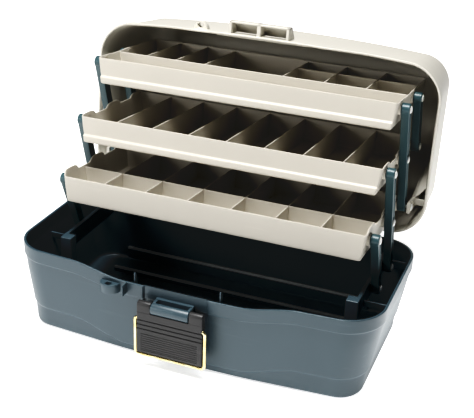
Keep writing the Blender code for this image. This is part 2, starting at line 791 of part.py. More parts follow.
def tray(name, low, crest, count, lip, pivots):
    """A tray drawn from its front top edge: shell, pivot pads and pin holes."""
    lip_low = -tray_height + tray_lip
    floor_z = tray_floor - tray_height
    foot = tray_foot
    wide = tray_end_draft
    flare = -tray_lip_out if lip else tray_front_draft
    lip_share = lip_low / -tray_height
    bm = bmesh.new()
    skin(bm, [
        tray_ring(-tray_height, wide + foot * 0.6, flare + foot * 0.3, tray_front_draft + foot * 0.6,
                  0, 0, 0),
        tray_ring(foot - tray_height, wide, flare, tray_front_draft, 0, 0, 0),
        tray_ring(lip_low - lip_edge, wide * lip_share, flare * 0.8, tray_front_draft * lip_share, 0, 0, 0),
        tray_ring(lip_low + lip_edge, wide * lip_share, tray_front_draft * lip_share,
                  tray_front_draft * lip_share, 0, 0, 0),
        tray_ring(0.0, 0.0, 0.0, 0.0, low, crest, count),
        tray_ring(0.0, tray_wall, tray_wall, tray_wall, low, crest, count),
        tray_ring(lip_low, wide * lip_share + tray_wall, tray_front_draft * lip_share + tray_wall,
                  tray_front_draft * lip_share + tray_wall, 0, 0, 0),
        tray_ring(floor_z, wide + tray_wall, tray_front_draft + tray_wall, tray_front_draft + tray_wall,
                  0, 0, 0),
    ])
    made = solid(name, bm, tray_cream)
    places = [pivot(order) for order in pivots]
    combine(made, "UNION", name + "_pads", pads(places, pad_inner))
    combine(made, "DIFFERENCE", name + "_pin_holes", pin_holes(places))
    return made


def divider_grid(name, along, across):
    """A tray's crossed dividers as one piece, set in with a hairline to the floor and the walls."""
    foot_z = tray_floor - tray_height + divider_fit
    half_low, front_low, rear_low = inside(foot_z)
    half_top, front_top, rear_top = inside(divider_top)
    cross = bmesh.new()
    for x, start in across:
        xs = (x - divider / 2, x + divider / 2)
        fronts = (front_low, front_top) if start is None else (start, start)
        slant(cross, xs, xs, (fronts[0], rear_low), (fronts[1], rear_top), (foot_z, divider_top))
    made = solid(name, cross, tray_cream)
    rows = bmesh.new()
    for x_left, y in along:
        ys = (y, y + divider)
        slant(rows, (max(x_left, -half_low), half_low), (max(x_left, -half_top), half_top), ys, ys,
              (foot_z + gap, divider_top - gap))
    combine(made, "UNION", name + "_along", rows)
    return made


def hang(made, key_pivot, place):
    """Draw a tray's pieces about its key pivot and set them in the open pose."""
    key = pivot(key_pivot)
    for piece in [made] + list(made.children):
        for corner in piece.data.vertices:
            corner.co.y -= key[0]
            corner.co.z -= key[1]
    here = place + turned(key, -tray_tilt)
    put(made, here[0], here[1], -tray_tilt)


tray_bottom = tray("tray_bottom", bottom_end_low, bottom_end_crest, 3, False, (0, 1, 2))
cells_bottom = [(half_tray * (2 * k / 7 - 1), None) for k in range(1, 7)]
bottom_dividers = divider_grid("bottom_tray_dividers", [(-half_tray, row_front)], cells_bottom)
for made in (tray_bottom, bottom_dividers):
    hang(made, 1, bottom_open)

# The middle tray's dividers don't meet each other, so they are one with its shell.
tray_middle = tray("tray_middle", middle_end_low, middle_end_crest, 3, True, (0, 1, 2))
inside_y = (tray_wall, tray_depth - tray_wall)
heights = (tray_floor / 2 - tray_height, divider_top)
combine(tray_middle, "UNION", "tray_middle_across", gather(
    [(box, ((x - divider / 2, x + divider / 2), inside_y, heights))
     for x in [half_tray * (2 * k / 8 - 1) for k in range(1, 8)]]))
hang(tray_middle, 0, middle_open)

tray_top = tray("tray_top", top_end_low, top_end_crest, 2, True, (0, 1))
small_row = trough_depth + (tray_depth - trough_depth) * 0.55
behind = trough_depth + divider / 2
cells_top = [(k * left_cell - half_tray, behind) for k in (1, 2, 3)]
cells_top += [(half_tray - k * right_cell, behind) for k in (1, 2, 3)]
walls_top = [(-half_tray, trough_depth), (half_tray - 3 * right_cell, small_row)]
top_dividers = divider_grid("top_tray_dividers", walls_top, cells_top)
for made in (tray_top, top_dividers):
    hang(made, 0, top_open)


def rivet(name, side, place, inner, outer):
    """A rivet along X at one end of the box: flat inner head, shank and domed outer head."""
    profile = [(inner - rivet_flat, rivet_head * 0.9), (inner, rivet_head * 0.9), (inner, shank),
               (outer, shank), (outer, rivet_head), (outer + rivet_rise * 0.6, rivet_head * 0.84),
               (outer + rivet_rise, rivet_head * 0.35)]
    bm = bmesh.new()
    barrel(bm, [(side * x, r) for x, r in profile], place[0], place[1], 12)
    return solid(name, bm, rivet_white)


def rivet_set(label, places, inner, outers, key_pivot=0, hung_at=None):
    """Like rivets at both ends, numbered from the front; a tray's rivets hang with the tray."""
    for order, (place, outer) in enumerate(zip(places, outers), 1):
        for end, side in (("left", -1), ("right", 1)):
            made = rivet(f"{label}_rivet_{order}_{end}", side, place, inner - gap, outer)
            if hung_at is not None:
                hang(made, key_pivot, hung_at)


rivet_set("base", base_pivots, rail_x[0], (head_x, head_x))
tray_pivots = [pivot(k) for k in range(3)]
rivet_set("bottom_tray", tray_pivots, pad_inner, (head_x, head_x, long_head_x), 1, bottom_open)
rivet_set("middle_tray", tray_pivots, pad_inner, (head_x, head_x, head_x), 0, middle_open)
rivet_set("top_tray", tray_pivots[:2], pad_inner, (head_x, head_x), 0, top_open)


def arm_outline(reaches):
    """A straight bar with round ends, drawn forward along -Y from its own axis."""
    near = max(reaches)
    far = min(reaches)
    neck = math.asin(arm_width / 2 / arm_end)
    out = []
    for t in np.linspace(neck - math.pi, math.pi - neck, 11):
        out.append((near + arm_end * math.cos(t), arm_end * math.sin(t)))
    for t in np.linspace(neck, 2 * math.pi - neck, 11):
        out.append((far + arm_end * math.cos(t), arm_end * math.sin(t)))
    return out


def arm(name, span, reaches, holes, place, elevation):
    """An arm with a pivot hole at each reach along it, raised to an elevation."""
    bm = bmesh.new()
    plate(bm, arm_outline(reaches), span)
    made = solid(name, bm, arm_dark)
    cuts = [(barrel, ([(span[0] - gap, r), (span[1] + gap, r)], y, 0.0, 12)) for y, r in zip(reaches, holes)]
    combine(made, "DIFFERENCE", name + "_holes", gather(cuts))
    put(made, place[0], place[1], -elevation)


running = shank + gap
loose = shank + pivot_play
lower_b = middle_open + turned(pivot(1), -tray_tilt)
lower_c = middle_open + turned(pivot(2), -tray_tilt)
arm_sets = [
    ("arm_front", (0.0, -front_arm_length), (running, loose), front_base, front_arm_open),
    ("arm_second", (0.0, -arm_length, -2 * arm_length), (running,) * 3, second_base, arm_open),
    ("arm_third", (arm_length, 0.0, -arm_length), (running,) * 3, lower_b, arm_open),
    ("arm_rear", (0.0, -arm_length), (running,) * 2, lower_c, arm_open),
]
for label, reaches, holes, place, elevation in arm_sets:
    span = (arm_x, arm_out)
    arm(label + "_right", span, reaches, holes, place, elevation)
    arm(label + "_left", mirrored(span), reaches, holes, place, elevation)

# Latch lever: a plate with two arms that straddle the bridge, drawn about the latch pin.
lever = bmesh.new()
plate_y = (-lever_front, lever_thick - lever_front)
plate_z = (lever_bottom - latch_z, -bridge_tall / 2 - 2 * gap)
box(lever, (-lever_half, lever_half), plate_y, plate_z)
latch_lever = solid("latch_lever", lever, black)
arm_in = bridge_half + gap
arm_low = plate_z[1] - lever_arm_root
arm_span = (arm_in, lever_half - gap)
lever_arms = [(box, (span, (plate_y[0] + gap, lever_arm_back), (arm_low, lever_arm_up)))
              for span in (arm_span, mirrored(arm_span))]
combine(latch_lever, "UNION", "lever_arms", gather(lever_arms))
bail_axis_y = (plate_y[0] + plate_y[1]) / 2
wire_end = lever_half - wire_in
wire_hole = wire_radius + gap
lever_cuts = []
for hole, inner, outer, y, z in ((latch_hole, arm_in - gap, lever_half, 0.0, 0.0),
                                 (wire_hole, wire_end - gap, lever_half + gap, bail_axis_y, -bail_drop)):
    lever_cuts.append((barrel, ([(inner, hole), (outer, hole)], y, z, 16)))
    lever_cuts.append((barrel, ([(-outer, hole), (-inner, hole)], y, z, 16)))
combine(latch_lever, "DIFFERENCE", "lever_cuts", gather(lever_cuts))
put(latch_lever, latch_y, latch_z, 0.0, latch_x)

pin = bmesh.new()
pin_half = lever_half - 2 * gap
barrel(pin, [(-pin_half, latch_pin_radius), (pin_half, latch_pin_radius)], 0.0, 0.0, 16)
put(solid("latch_pin", pin, steel), latch_y, latch_z, 0.0, latch_x)

# Bail: one bent wire whose inturned ends sit in the lever's sides.
leg_x = lever_half + wire_radius + leg_gap
wire = bmesh.new()
wire_path = rounded([(-wire_end, 0, 0), (-leg_x, 0, 0), (-leg_x, 0, -bail_length), (leg_x, 0, -bail_length),
                     (leg_x, 0, 0), (wire_end, 0, 0)], wire_radius * 1.6)
tube(wire, wire_path, wire_radius, 8)
put(solid("bail_wire", wire, brass), latch_y + bail_axis_y, latch_z - bail_drop, 0.0, latch_x)

# Carry handle: a bent bar folded back on the lid's top, drawn about its own pins.
grip = bmesh.new()
grip_path = rounded([(-handle_half, -handle_bar, 0), (-handle_half, handle_reach, 0),
                     (handle_half, handle_reach, 0), (handle_half, -handle_bar, 0)], grip_corner)
tube(grip, grip_path, handle_bar)
carry_handle = solid("carry_handle", grip, black)
grip_in = handle_half - handle_bar - gap
grip_span = (grip_in, handle_half + handle_bar + gap)
combine(carry_handle, "DIFFERENCE", "handle_holes", gather(
    [(barrel, ([(a, handle_bore), (b, handle_bore)], 0.0, 0.0, 16))
     for a, b in (grip_span, mirrored(grip_span))]))
handle_arm = turned(np.array([-hinge_y, handle_z - hinge_z]), -lid_open)
handle_place = np.array([hinge_y, hinge_z]) + handle_arm
put(carry_handle, handle_place[0], handle_place[1], -lid_open)

pin_span = (grip_in + 2 * gap, boss_x[1] - gap)
for name, (a, b) in (("handle_pin_right", pin_span), ("handle_pin_left", mirrored(pin_span))):
    stub = bmesh.new()
    barrel(stub, [(a, handle_pin_radius), (b, handle_pin_radius)], 0.0, 0.0, 16)
    put(solid(name, stub, steel), handle_place[0], handle_place[1], -lid_open)
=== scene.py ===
"""An open fishing tackle box with three cantilever trays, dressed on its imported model.

Metres, +X along the bin, +Y to the rear, +Z up, with the origin at the middle of the bin's underside.
"""
import math

import bmesh
import bpy
import numpy as np
from mathutils import Matrix, Vector


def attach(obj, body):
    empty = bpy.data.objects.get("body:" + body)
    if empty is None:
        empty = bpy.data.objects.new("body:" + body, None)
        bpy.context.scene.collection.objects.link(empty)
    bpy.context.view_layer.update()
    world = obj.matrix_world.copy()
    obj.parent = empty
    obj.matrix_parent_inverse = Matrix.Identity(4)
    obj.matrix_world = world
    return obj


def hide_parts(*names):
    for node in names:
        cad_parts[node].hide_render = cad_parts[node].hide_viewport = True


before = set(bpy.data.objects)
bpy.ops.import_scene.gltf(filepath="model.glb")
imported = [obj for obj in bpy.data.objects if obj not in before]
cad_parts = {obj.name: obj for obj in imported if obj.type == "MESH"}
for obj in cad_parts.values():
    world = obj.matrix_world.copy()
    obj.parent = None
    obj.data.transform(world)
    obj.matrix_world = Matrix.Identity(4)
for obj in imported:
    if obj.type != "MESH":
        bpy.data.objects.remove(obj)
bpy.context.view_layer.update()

# Bin shell. One injection moulding in dark teal polypropylene: a bowed front whose rim dips at the latch, a
# proud rim band, drafted sides and a stepped plinth. Lid, arms and latch are all hung on it.
half_length = 0.237
half_depth = 0.115
bin_height = 0.112
front_bow = 0.010
plan_corner = 0.045
rim_dip = 0.011
dip_flat = 0.073
dip_end = 0.150
bin_wall = 0.0032
bin_floor = 0.0036
band_low = 0.095
step_in = 0.0018
plinth_top = 0.030
plinth_in = 0.0030
plinth_drop = 0.018
foot_round = 0.005
draft = np.array([0.0125, 0.0030, 0.0040])
foot_in = draft + plinth_in + np.array([0.002, 0.001, 0.001])
latch_x = -0.005


class Socket:
    """A socket in a material's node tree; sums and products of sockets and numbers add Math nodes."""

    def __init__(self, tree, socket):
        self.tree = tree
        self.socket = socket

    def make(self, kind, settings, values, output=0):
        """Any node: its type, its settings, which are set first, and the values or links of its sockets."""
        node = self.tree.nodes.new(kind)
        for name, setting in settings.items():
            setattr(node, name, setting)
        for key, value in values.items():
            if isinstance(value, Socket):
                self.tree.links.new(value.socket, node.inputs[key])
            else:
                node.inputs[key].default_value = value
        return Socket(self.tree, node.outputs[output])

    def math(self, operation, first, second):
        """One Math node on two sockets or numbers."""
        return self.make("ShaderNodeMath", {"operation": operation}, {0: first, 1: second})

    def __add__(self, other):
        return self.math("ADD", self, other)

    def __sub__(self, other):
        return self.math("SUBTRACT", self, other)

    def __rsub__(self, other):
        return self.math("SUBTRACT", other, self)

    def __mul__(self, other):
        return self.math("MULTIPLY", self, other)

    __radd__ = __add__
    __rmul__ = __mul__

    def clipped(self, low, high):
        """Zero below low, one above high, and a straight ramp between."""
        return self.make("ShaderNodeMapRange", {}, {0: self, 1: low, 2: high, 3: 0.0, 4: 1.0})

    def noise(self, scale, detail=2.0, stretch=(1.0, 1.0, 1.0)):
        """Cloudy noise on this vector, drawn out along an axis whose stretch is small."""
        place = self.make("ShaderNodeMapping", {}, {0: self, 3: stretch})
        return self.make("ShaderNodeTexNoise", {}, {"Vector": place, "Scale": scale, "Detail": detail})

    def blend(self, first, second):
        """A colour between two, by this factor."""
        pair = [c if isinstance(c, Socket) else (*c, 1.0) for c in (first, second)]
        return self.make("ShaderNodeMix", {"data_type": "RGBA"}, {0: self, 6: pair[0], 7: pair[1]}, 2)


def finish(name, constants):
    """A new material with its constant shader values set: (material, shader, place on the object)."""
    made = bpy.data.materials.new(name)
    made.use_nodes = True
    shader = made.node_tree.nodes["Principled BSDF"]
    for key, value in constants.items():
        shader.inputs[key].default_value = value
    where = made.node_tree.nodes.new("ShaderNodeTexCoord")
    return made, shader, Socket(made.node_tree, where.outputs["Object"])


def feed(shader, **links):
    """Link sockets to the shader's inputs; underscores in a name stand for spaces."""
    for key, value in links.items():
        value.tree.links.new(value.socket, shader.inputs[key.replace("_", " ")])


def moulded(name, colour, shade, rough, grain, depth, scuff, constants):
    """Moulded plastic: cloudy flow marks between two close tones, an eroded grain of the given size and
    depth in the bump, and rubbed streaks that are paler and a little smoother."""
    made, shader, place = finish(name, constants)
    cloud = place.noise(7.0, 3.0)
    flow = place.noise(26.0, 2.0, (1.0, 1.0, 0.22))
    fine = place.noise(1.0 / grain, 2.0)
    dots = place.noise(0.45 / grain, 1.0)
    rubbed = place.noise(150.0, 3.0, (0.08, 0.5, 1.0)).clipped(0.62, 0.80) * cloud.clipped(0.42, 0.62)
    tone = (cloud * 0.6 + flow * 0.4).clipped(0.30, 0.70)
    body = tone.blend(shade, colour)
    pale = tuple(min(1.0, c * 1.25 + 0.02) for c in colour)
    feed(shader, Base_Color=(rubbed * scuff).blend(body, pale))
    feed(shader, Roughness=rough + (fine - 0.5) * 0.16 + (cloud - 0.5) * 0.14 - rubbed * (scuff * 0.25))
    height = fine * 0.6 + dots * 0.4
    feed(shader, Normal=place.make("ShaderNodeBump", {}, {"Strength": 0.35, "Distance": depth,
                                                          "Height": height}))
    return made


def rounded_walk(long_steps, side_steps, arc_steps):
    """Four columns for the points round a rounded rectangle: share along X from -1 to 1, share along Y from
    0 at the front to 1 at the rear, and the outward direction of each point. The front edge comes first."""
    legs = []
    turn = np.linspace(0.0, 90.0, arc_steps + 1)[:-1]
    corners = np.array([(-1, 0), (1, 0), (1, 1), (-1, 1), (-1, 0)], float)
    for quarter, steps in enumerate((long_steps, side_steps, long_steps, side_steps)):
        share = np.linspace(0.0, 1.0, steps + 1)[:-1, None]
        edge = corners[quarter] * (1 - share) + corners[quarter + 1] * share
        angles = np.radians(90.0 * quarter - 90.0 + np.concatenate([np.zeros(steps), turn]))
        spots = np.vstack([edge, np.repeat(corners[quarter + 1][None], arc_steps, axis=0)])
        legs.append(np.column_stack([spots, np.cos(angles), np.sin(angles)]))
    return np.vstack(legs).T


def softened(rows, reach, steps=4):
    """A profile whose inner corners are cut by curves: from each corner row the curve leaves both legs at the
    given reach, or at 45 % of a short leg, and bends quadratically from one to the other."""
    rows = np.array(rows, float)
    reach = np.broadcast_to(reach, len(rows))
    t = np.linspace(0.0, 1.0, steps + 1)[:, None]
    out = [rows[:1]]
    for before, here, after, far in zip(rows, rows[1:], rows[2:], reach[1:]):
        back = before - here
        ahead = after - here
        start = here + back * min(0.45, far / max(1e-9, np.linalg.norm(back[:2])))
        end = here + ahead * min(0.45, far / max(1e-9, np.linalg.norm(ahead[:2])))
        out.append(start * (1 - t) ** 2 + here * 2 * t * (1 - t) + end * t ** 2)
    out.append(rows[-1:])
    return np.vstack(out)


def filled(rows, most):
    """A profile with rows added evenly on each leg that is longer than the most allowed."""
    gaps = np.maximum(1, np.ceil(np.linalg.norm(np.diff(rows[:, :2], axis=0), axis=1) / most)).astype(int)
    at = np.concatenate([[0], np.cumsum(gaps)])
    wanted = np.arange(at[-1] + 1)
    return np.column_stack([np.interp(wanted, at, column) for column in rows.T])


def skin(rings, loop=False):
    """Points and faces of a closed surface through rings of one count: quads between neighbours, and either
    flat caps on the first and last ring or, as a loop, quads from the last ring to the first."""
    count, size = rings.shape[:2]
    index = np.arange(count * size).reshape(count, size)
    rows = np.vstack([index, index[:1]]) if loop else index
    ring = np.roll(rows, -1, axis=1)
    quads = np.stack([rows[:-1], ring[:-1], ring[1:], rows[1:]], axis=-1).reshape(-1, 4).tolist()
    caps = [] if loop else [index[0, ::-1].tolist(), index[-1].tolist()]
    return rings.reshape(-1, 3), quads + caps


def piece(name, parts, look, body, sharp=38.0):
    """One object from closed surfaces, faces outward, smooth but for edges over the sharp angle, riding on a
    body and finished with the given material."""
    starts = np.cumsum([0] + [len(points) for points, _ in parts])
    points = np.vstack([points for points, _ in parts])
    faces = [[corner + start for corner in face] for start, (_, part) in zip(starts, parts) for face in part]
    mesh = bpy.data.meshes.new(name)
    mesh.from_pydata(points.tolist(), [], faces)
    bm = bmesh.new()
    bm.from_mesh(mesh)
    bmesh.ops.recalc_face_normals(bm, faces=bm.faces)
    bm.to_mesh(mesh)
    bm.free()
    mesh.shade_smooth()
    mesh.set_sharp_from_angle(angle=math.radians(sharp))
    mesh.materials.append(look)
    made = bpy.data.objects.new(name, mesh)
    bpy.context.scene.collection.objects.link(made)
    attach(made, body)
    return made


shell_walk = rounded_walk(320, 40, 18)


def s_curve(value, low, high):
    """Zero below low, one above high, and a smooth S between."""
    t = np.clip((value - low) / (high - low), 0.0, 1.0)
    return t * t * (3 - 2 * t)


def shell_rings(rows):
    """Rings of the bin's and lid's plan from rows of height, three insets and rim dip. The plan is a rounded
    rectangle with its front bowed by a parabola; the dip lowers the front by an S curve about the middle."""
    share_x, share_y, out_x, out_y = shell_walk
    z, in_x, in_front, in_rear, dip = rows.T[:, :, None]
    half = half_length - in_x
    front = front_bow - half_depth + in_front
    rear = half_depth - in_rear
    corner = plan_corner - np.minimum(np.minimum(in_x, in_front + in_rear), plan_corner / 2)
    x = share_x * (half - corner) + corner * out_x
    y = (1 - share_y) * (front + corner) + share_y * (rear - corner) + corner * out_y
    y = y - front_bow * (1 - (x / half) ** 2) * np.clip(y / front, 0.0, 1.0)
    fall = np.where(out_y < -0.999, 1 - s_curve(np.abs(x), dip_flat, dip_end), 0.0)
    return np.stack([x, y, z - dip * fall], axis=-1)


def level(z, inset, dip=0.0):
    """One row of a shell's profile: height, insets of ends, front and rear, and dip."""
    return np.concatenate([[z], np.broadcast_to(inset, 3), [dip]])


bin_rows = softened([
    level(0.0, foot_in + foot_round * 2.0),
    level(0.0, foot_in),
    level(plinth_top - plinth_in, draft + plinth_in, plinth_drop),
    level(plinth_top, draft, plinth_drop),
    level(band_low - step_in, step_in, rim_dip),
    level(band_low, 0.0, rim_dip),
    level(bin_height, 0.0, rim_dip),
    level(bin_height, bin_wall, rim_dip),
    level(band_low, bin_wall + step_in, rim_dip),
    level(bin_floor, foot_in + bin_wall),
    level(bin_floor, foot_in + bin_wall + foot_round * 3.0),
], [0, foot_round, 0.0016, 0.0016, 0.0012, 0.0012, 0.0010, 0.0010, 0.003, foot_round, 0], 6)
bin_rings = shell_rings(filled(bin_rows, 0.0022))

# Behind the latch the outer face leans back to a thin rim, in a recess with upright sides.
recess_half = 0.0415
recess_deep = 0.0025
recess_foot = (0.034, 0.037)
recess_lean = (0.050, 0.102)
outer = np.arange(len(bin_rings))[:, None] < np.argmax(bin_rings[:, 0, 2]) + 1
across = 1 - s_curve(np.abs(bin_rings[..., 0] - latch_x), recess_half - 0.0006, recess_half + 0.0010)
upright = s_curve(bin_rings[..., 2], *recess_lean) * 0.8 + s_curve(bin_rings[..., 2], *recess_foot) * 0.2
bin_rings[..., 1] += np.where(outer & (bin_rings[..., 1] < 0), recess_deep * across * upright, 0.0)

bin_plastic = moulded("bin_teal_satin", (0.060, 0.094, 0.112), (0.053, 0.084, 0.101), rough=0.40,
                      grain=0.00045, depth=0.00010, scuff=0.35,
                      constants={"IOR": 1.52, "Specular IOR Level": 0.70})
bin_shell = piece("bin_shell", [skin(bin_rings)], bin_plastic, "base")
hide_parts("base_bin")

# Bin seats. Posts and rails moulded inside the bin's ends, in its own plastic, and tied to the end walls by
# short cross ribs. They carry the shut bottom tray, and the rails hold the lowest arm pivots.
half_tray = 0.200
rail_in = 0.1946
rail_out = 0.1996
rail_low = 0.0785
rail_top = 0.10249
rail_y = (-0.040, 0.09355)
post_in = 0.184
post_y = (-0.047, -0.033)
cross_rib_in = 0.1976
cross_rib_low = 0.0815
bed = 0.002
front_base = np.array([0.016602, 0.090836])
second_base = np.array([0.073552, 0.092186])
pad_proud = 0.0004
small_walk = rounded_walk(1, 1, 5)


def block(low, high, soft=0.0008):
    """A box with every edge rounded: a rounded rectangle in plan whose rings draw in at the bottom and the
    top along quarter circles."""
    low = np.array(low, float)
    high = np.array(high, float)
    share_x, share_y, out_x, out_y = small_walk
    turn = np.linspace(0.0, math.pi / 2, 6)
    inset = soft * (1 - np.sin(turn)) * 0.98
    rise = soft * (1 - np.cos(turn))
    z = np.concatenate([low[2] + rise, high[2] - rise[::-1]])[:, None]
    inset = np.concatenate([inset, inset[::-1]])[:, None]
    middle = (low + high) / 2
    half = (high - low) / 2
    corner = soft - inset
    x = middle[0] + share_x * (half[0] - soft) + corner * out_x
    y = middle[1] + (2 * share_y - 1) * (half[1] - soft) + corner * out_y
    return skin(np.stack([x, y, z + 0 * x], axis=-1))


def both_ends(low, high, soft=0.0008):
    """A rounded box at the right end and its twin at the left."""
    twin_low = (-high[0], low[1], low[2])
    twin_high = (-low[0], high[1], high[2])
    return [block(low, high, soft), block(twin_low, twin_high, soft)]


def spun(profile, y, z, sides=40):
    """A round body along X: each (x, radius) pair of the profile is a circle about the line at y, z."""
    x, r = np.array(profile, float).T[:, :, None]
    turn = np.linspace(0.0, 2 * math.pi, sides, endpoint=False)
    return skin(np.stack([x + 0 * turn, y + r * np.cos(turn), z + r * np.sin(turn)], axis=-1))


def pad(inner, outer, y, z, radius=0.008):
    """Round pivot pads at both ends, with a soft outer edge."""
    profile = softened([(inner, radius), (outer, radius), (outer, radius * 0.4)], 0.0006)
    return [spun(profile * np.array([side, 1.0]), y, z) for side in (1.0, -1.0)]


seats = both_ends((post_in, post_y[0], bed), (rail_out, post_y[1], rail_top), 0.0012)
seats += both_ends((rail_in, rail_y[0], rail_low), (rail_out, rail_y[1], rail_top - 0.0003))
for front, rear, end, top in ((-0.0180, -0.0153, 0.2322, 0.0900), (0.0906, 0.0933, 0.2260, 0.093)):
    seats += both_ends((cross_rib_in, front, cross_rib_low), (end, rear, top))
for pivot_y, pivot_z in (front_base, second_base):
    seats += pad(rail_in + 0.0003, half_tray + pad_proud, pivot_y, pivot_z)
piece("bin_seats", seats, bin_plastic, "base")

# Floor rib and ledge. Two low ridges along the bin's floor, one with it; their tops are capped in a pale
# plastic, a painted highlight where light catches them.
ridge_half = 0.180
cap_half = 0.1795
cap_deep = 0.0034
# The pale colour of the ridge tops is a painted highlight.
ridge_highlight_paint = moulded("bin_teal_painted_highlight", (0.66, 0.67, 0.66), (0.48, 0.50, 0.50), rough=0.50,
                         grain=0.00045, depth=0.00010, scuff=0.8,
                         constants={"IOR": 1.49, "Specular IOR Level": 0.6})
bodies = []
caps = []
for low_y, high_y, top in ((0.0600, 0.0630, 0.0116), (0.1022, 0.1060, 0.0216)):
    bodies.append(block((-ridge_half, low_y, bed), (ridge_half, high_y, top - 0.0004), 0.0012))
    caps.append(block((-cap_half, low_y - 0.0003, top - cap_deep), (cap_half, high_y, top), 0.0011))
piece("bin_floor_ridges", bodies, bin_plastic, "base")
piece("bin_ridge_tops", caps, ridge_highlight_paint, "base")

# Bin front and hinge fittings. The bridge that the lever hangs on, a padlock ear with a slit rib beside it,
# two fins behind the rim that guide the lid, and two hinge knuckles at the rear, all in one moulding with
# the shell.
latch_y = -0.1255
latch_z = 0.081
hinge_y = 0.119
hinge_z = 0.114
ear_x = -0.091
ear_front = -0.1125
ear_bore_y = -0.1187
wall_y = -0.1108
bridge_half = 0.0245
bridge_round = 0.0075
bridge_cheek = 0.0225
cheek_half = 0.002
knuckle_stations = (-0.135, 0.135)
knuckle_round = 0.005
knuckle_half = 0.014
knuckle_foot = 0.0955
fin_half = 0.0010
slit_rib = ((-0.0700, -0.1260, 0.0870), (-0.0682, -0.1130, 0.1010))


def plate(outline, low, high, soft=0.0006):
    """A flat plate across X from a closed (y, z) outline, its two edges rounded by moving the outline in
    along its own normals on quarter circles."""
    outline = np.array(outline, float)
    along = np.roll(outline, -1, axis=0) - np.roll(outline, 1, axis=0)
    along /= np.linalg.norm(along, axis=1)[:, None]
    area = np.sum(outline[:, 0] * np.roll(outline[:, 1], -1) - outline[:, 1] * np.roll(outline[:, 0], -1))
    out = np.column_stack([along[:, 1], -along[:, 0]]) * np.sign(area)
    turn = np.linspace(0.0, math.pi / 2, 5)
    inset = soft * (1 - np.sin(turn))
    rise = soft * (1 - np.cos(turn))
    x = np.concatenate([low + rise, high - rise[::-1]])[:, None]
    inset = np.concatenate([inset, inset[::-1]])[:, None, None]
    spots = outline - inset * out
    return skin(np.concatenate([(x + 0 * spots[..., 0])[..., None], spots], axis=-1))


def lug(radius, z_low, z_high, bore=0.0038, soft=0.0010):
    """A half-round ear with an upright hole: rays from the hole's centre meet the hole, then the ear's edge,
    which is a circle about the root or the wall line, and the section runs once round each ray."""
    turn = np.linspace(0.0, 2 * math.pi, 96, endpoint=False)
    ray_x = np.cos(turn)
    ray_y = np.sin(turn)
    off = ear_bore_y - ear_front
    circle = -ray_y * off + np.sqrt((ray_y * off) ** 2 + radius ** 2 - off ** 2)
    wall = np.where(ray_y > 0.02, (ear_front + 0.002 - ear_bore_y) / np.maximum(ray_y, 0.02), 1.0)
    edge = np.minimum(circle, wall)
    rows = np.array([(0, z_low + soft, 0), (0, z_high - soft, 0), (soft * 0.3, z_high - soft * 0.3, 0),
                     (soft, z_high, 0), (-soft, z_high, 1), (-soft * 0.3, z_high - soft * 0.3, 1),
                     (0, z_high - soft, 1), (0, z_low + soft, 1), (-soft * 0.3, z_low + soft * 0.3, 1),
                     (-soft, z_low, 1), (soft, z_low, 0), (soft * 0.3, z_low + soft * 0.3, 0)])
    shift, z, share = rows.T[:, :, None]
    reach = bore * (1 - share) + edge * share + shift
    return skin(np.stack([ear_x + reach * ray_x, ear_bore_y + reach * ray_y, z + 0 * reach], axis=-1), True)


def arc(y, z, radius, start, end, steps):
    """Points of a circle about a (y, z) centre between two angles in degrees."""
    turn = np.radians(np.linspace(start, end, steps))
    return np.column_stack([y + radius * np.cos(turn), z + radius * np.sin(turn)])


bridge = np.vstack([arc(latch_y, latch_z, bridge_round, 100.0, 262.0, 24),
                    [(wall_y, latch_z - 0.0072), (wall_y, latch_z + 0.0085), (-0.1168, latch_z + 0.0078),
                     (-0.1174, latch_z + 0.0010), (-0.1232, latch_z + 0.0010), (-0.1238, latch_z + 0.0068)]])
fittings = [plate(bridge, latch_x - bridge_half, latch_x + bridge_half, 0.0012)]
for side in (-1, 1):
    cheek_x = latch_x + side * bridge_cheek
    fittings.append(block((cheek_x - cheek_half, -0.1240, latch_z - 0.0060),
                          (cheek_x + cheek_half, wall_y, latch_z + 0.0072)))
fittings.append(lug(radius=0.013, z_low=0.085, z_high=0.097))
fittings.append(block(*slit_rib, 0.0007))
barrel = arc(hinge_y, hinge_z, knuckle_round, -110.0, 110.0, 24)
knuckle = np.vstack([barrel, [(0.1125, bin_height - 0.0003), (0.1120, knuckle_foot),
                              (hinge_y - 0.004, knuckle_foot)]])
for station in knuckle_stations:
    fittings.append(plate(knuckle, station - knuckle_half, station + knuckle_half))
fin = softened([(-0.1096, 0.0780), (-0.1096, 0.1132), (-0.1074, 0.1134), (-0.1038, 0.1060),
                (-0.1026, 0.0940), (-0.1026, 0.0780), (-0.1090, 0.0780)], 0.003)
fittings += [plate(fin, x - fin_half, x + fin_half, 0.0005) for x in (-0.0605, 0.0505)]
piece("bin_fittings", fittings, bin_plastic, "base")

# Lid. A cream moulding with the bin's plan, rounded along its top edge; it stands open on the hinge, so it is
# drawn shut and swung back about the hinge axis.
lid_wall = 0.0026
lid_band = 0.012
lid_edge = 0.030
lid_shoulder = 0.106
parting = 0.0004
rim = bin_height + parting
lid_draft = np.array([0.0090, 0.0045, 0.0030])
band_draft = lid_draft * 0.12
edge_narrow = 0.92
lid_open = 97.0


def swung(points, degrees=-lid_open, y=hinge_y, z=hinge_z):
    """Points turned about an X line by the right-hand rule."""
    t = math.radians(degrees)
    shift = np.array([0.0, y, z])
    turn = np.array([[1, 0, 0], [0, math.cos(t), math.sin(t)], [0, -math.sin(t), math.cos(t)]])
    return (points - shift) @ turn + shift


def opened(part):
    """A surface drawn on the shut lid, swung open with it."""
    return swung(part[0]), part[1]


def lid_edge_rows(inset, angles):
    """Rows over the lid's rounded top edge, on a quarter circle moved in from the outside and narrowed."""
    r = lid_edge - inset
    t = np.radians(angles)
    rise = rim + lid_shoulder + r * np.sin(t)
    extra = inset + r * (1 - np.cos(t)) * edge_narrow
    return np.column_stack([rise, extra[:, None] + lid_draft, 0 * t])


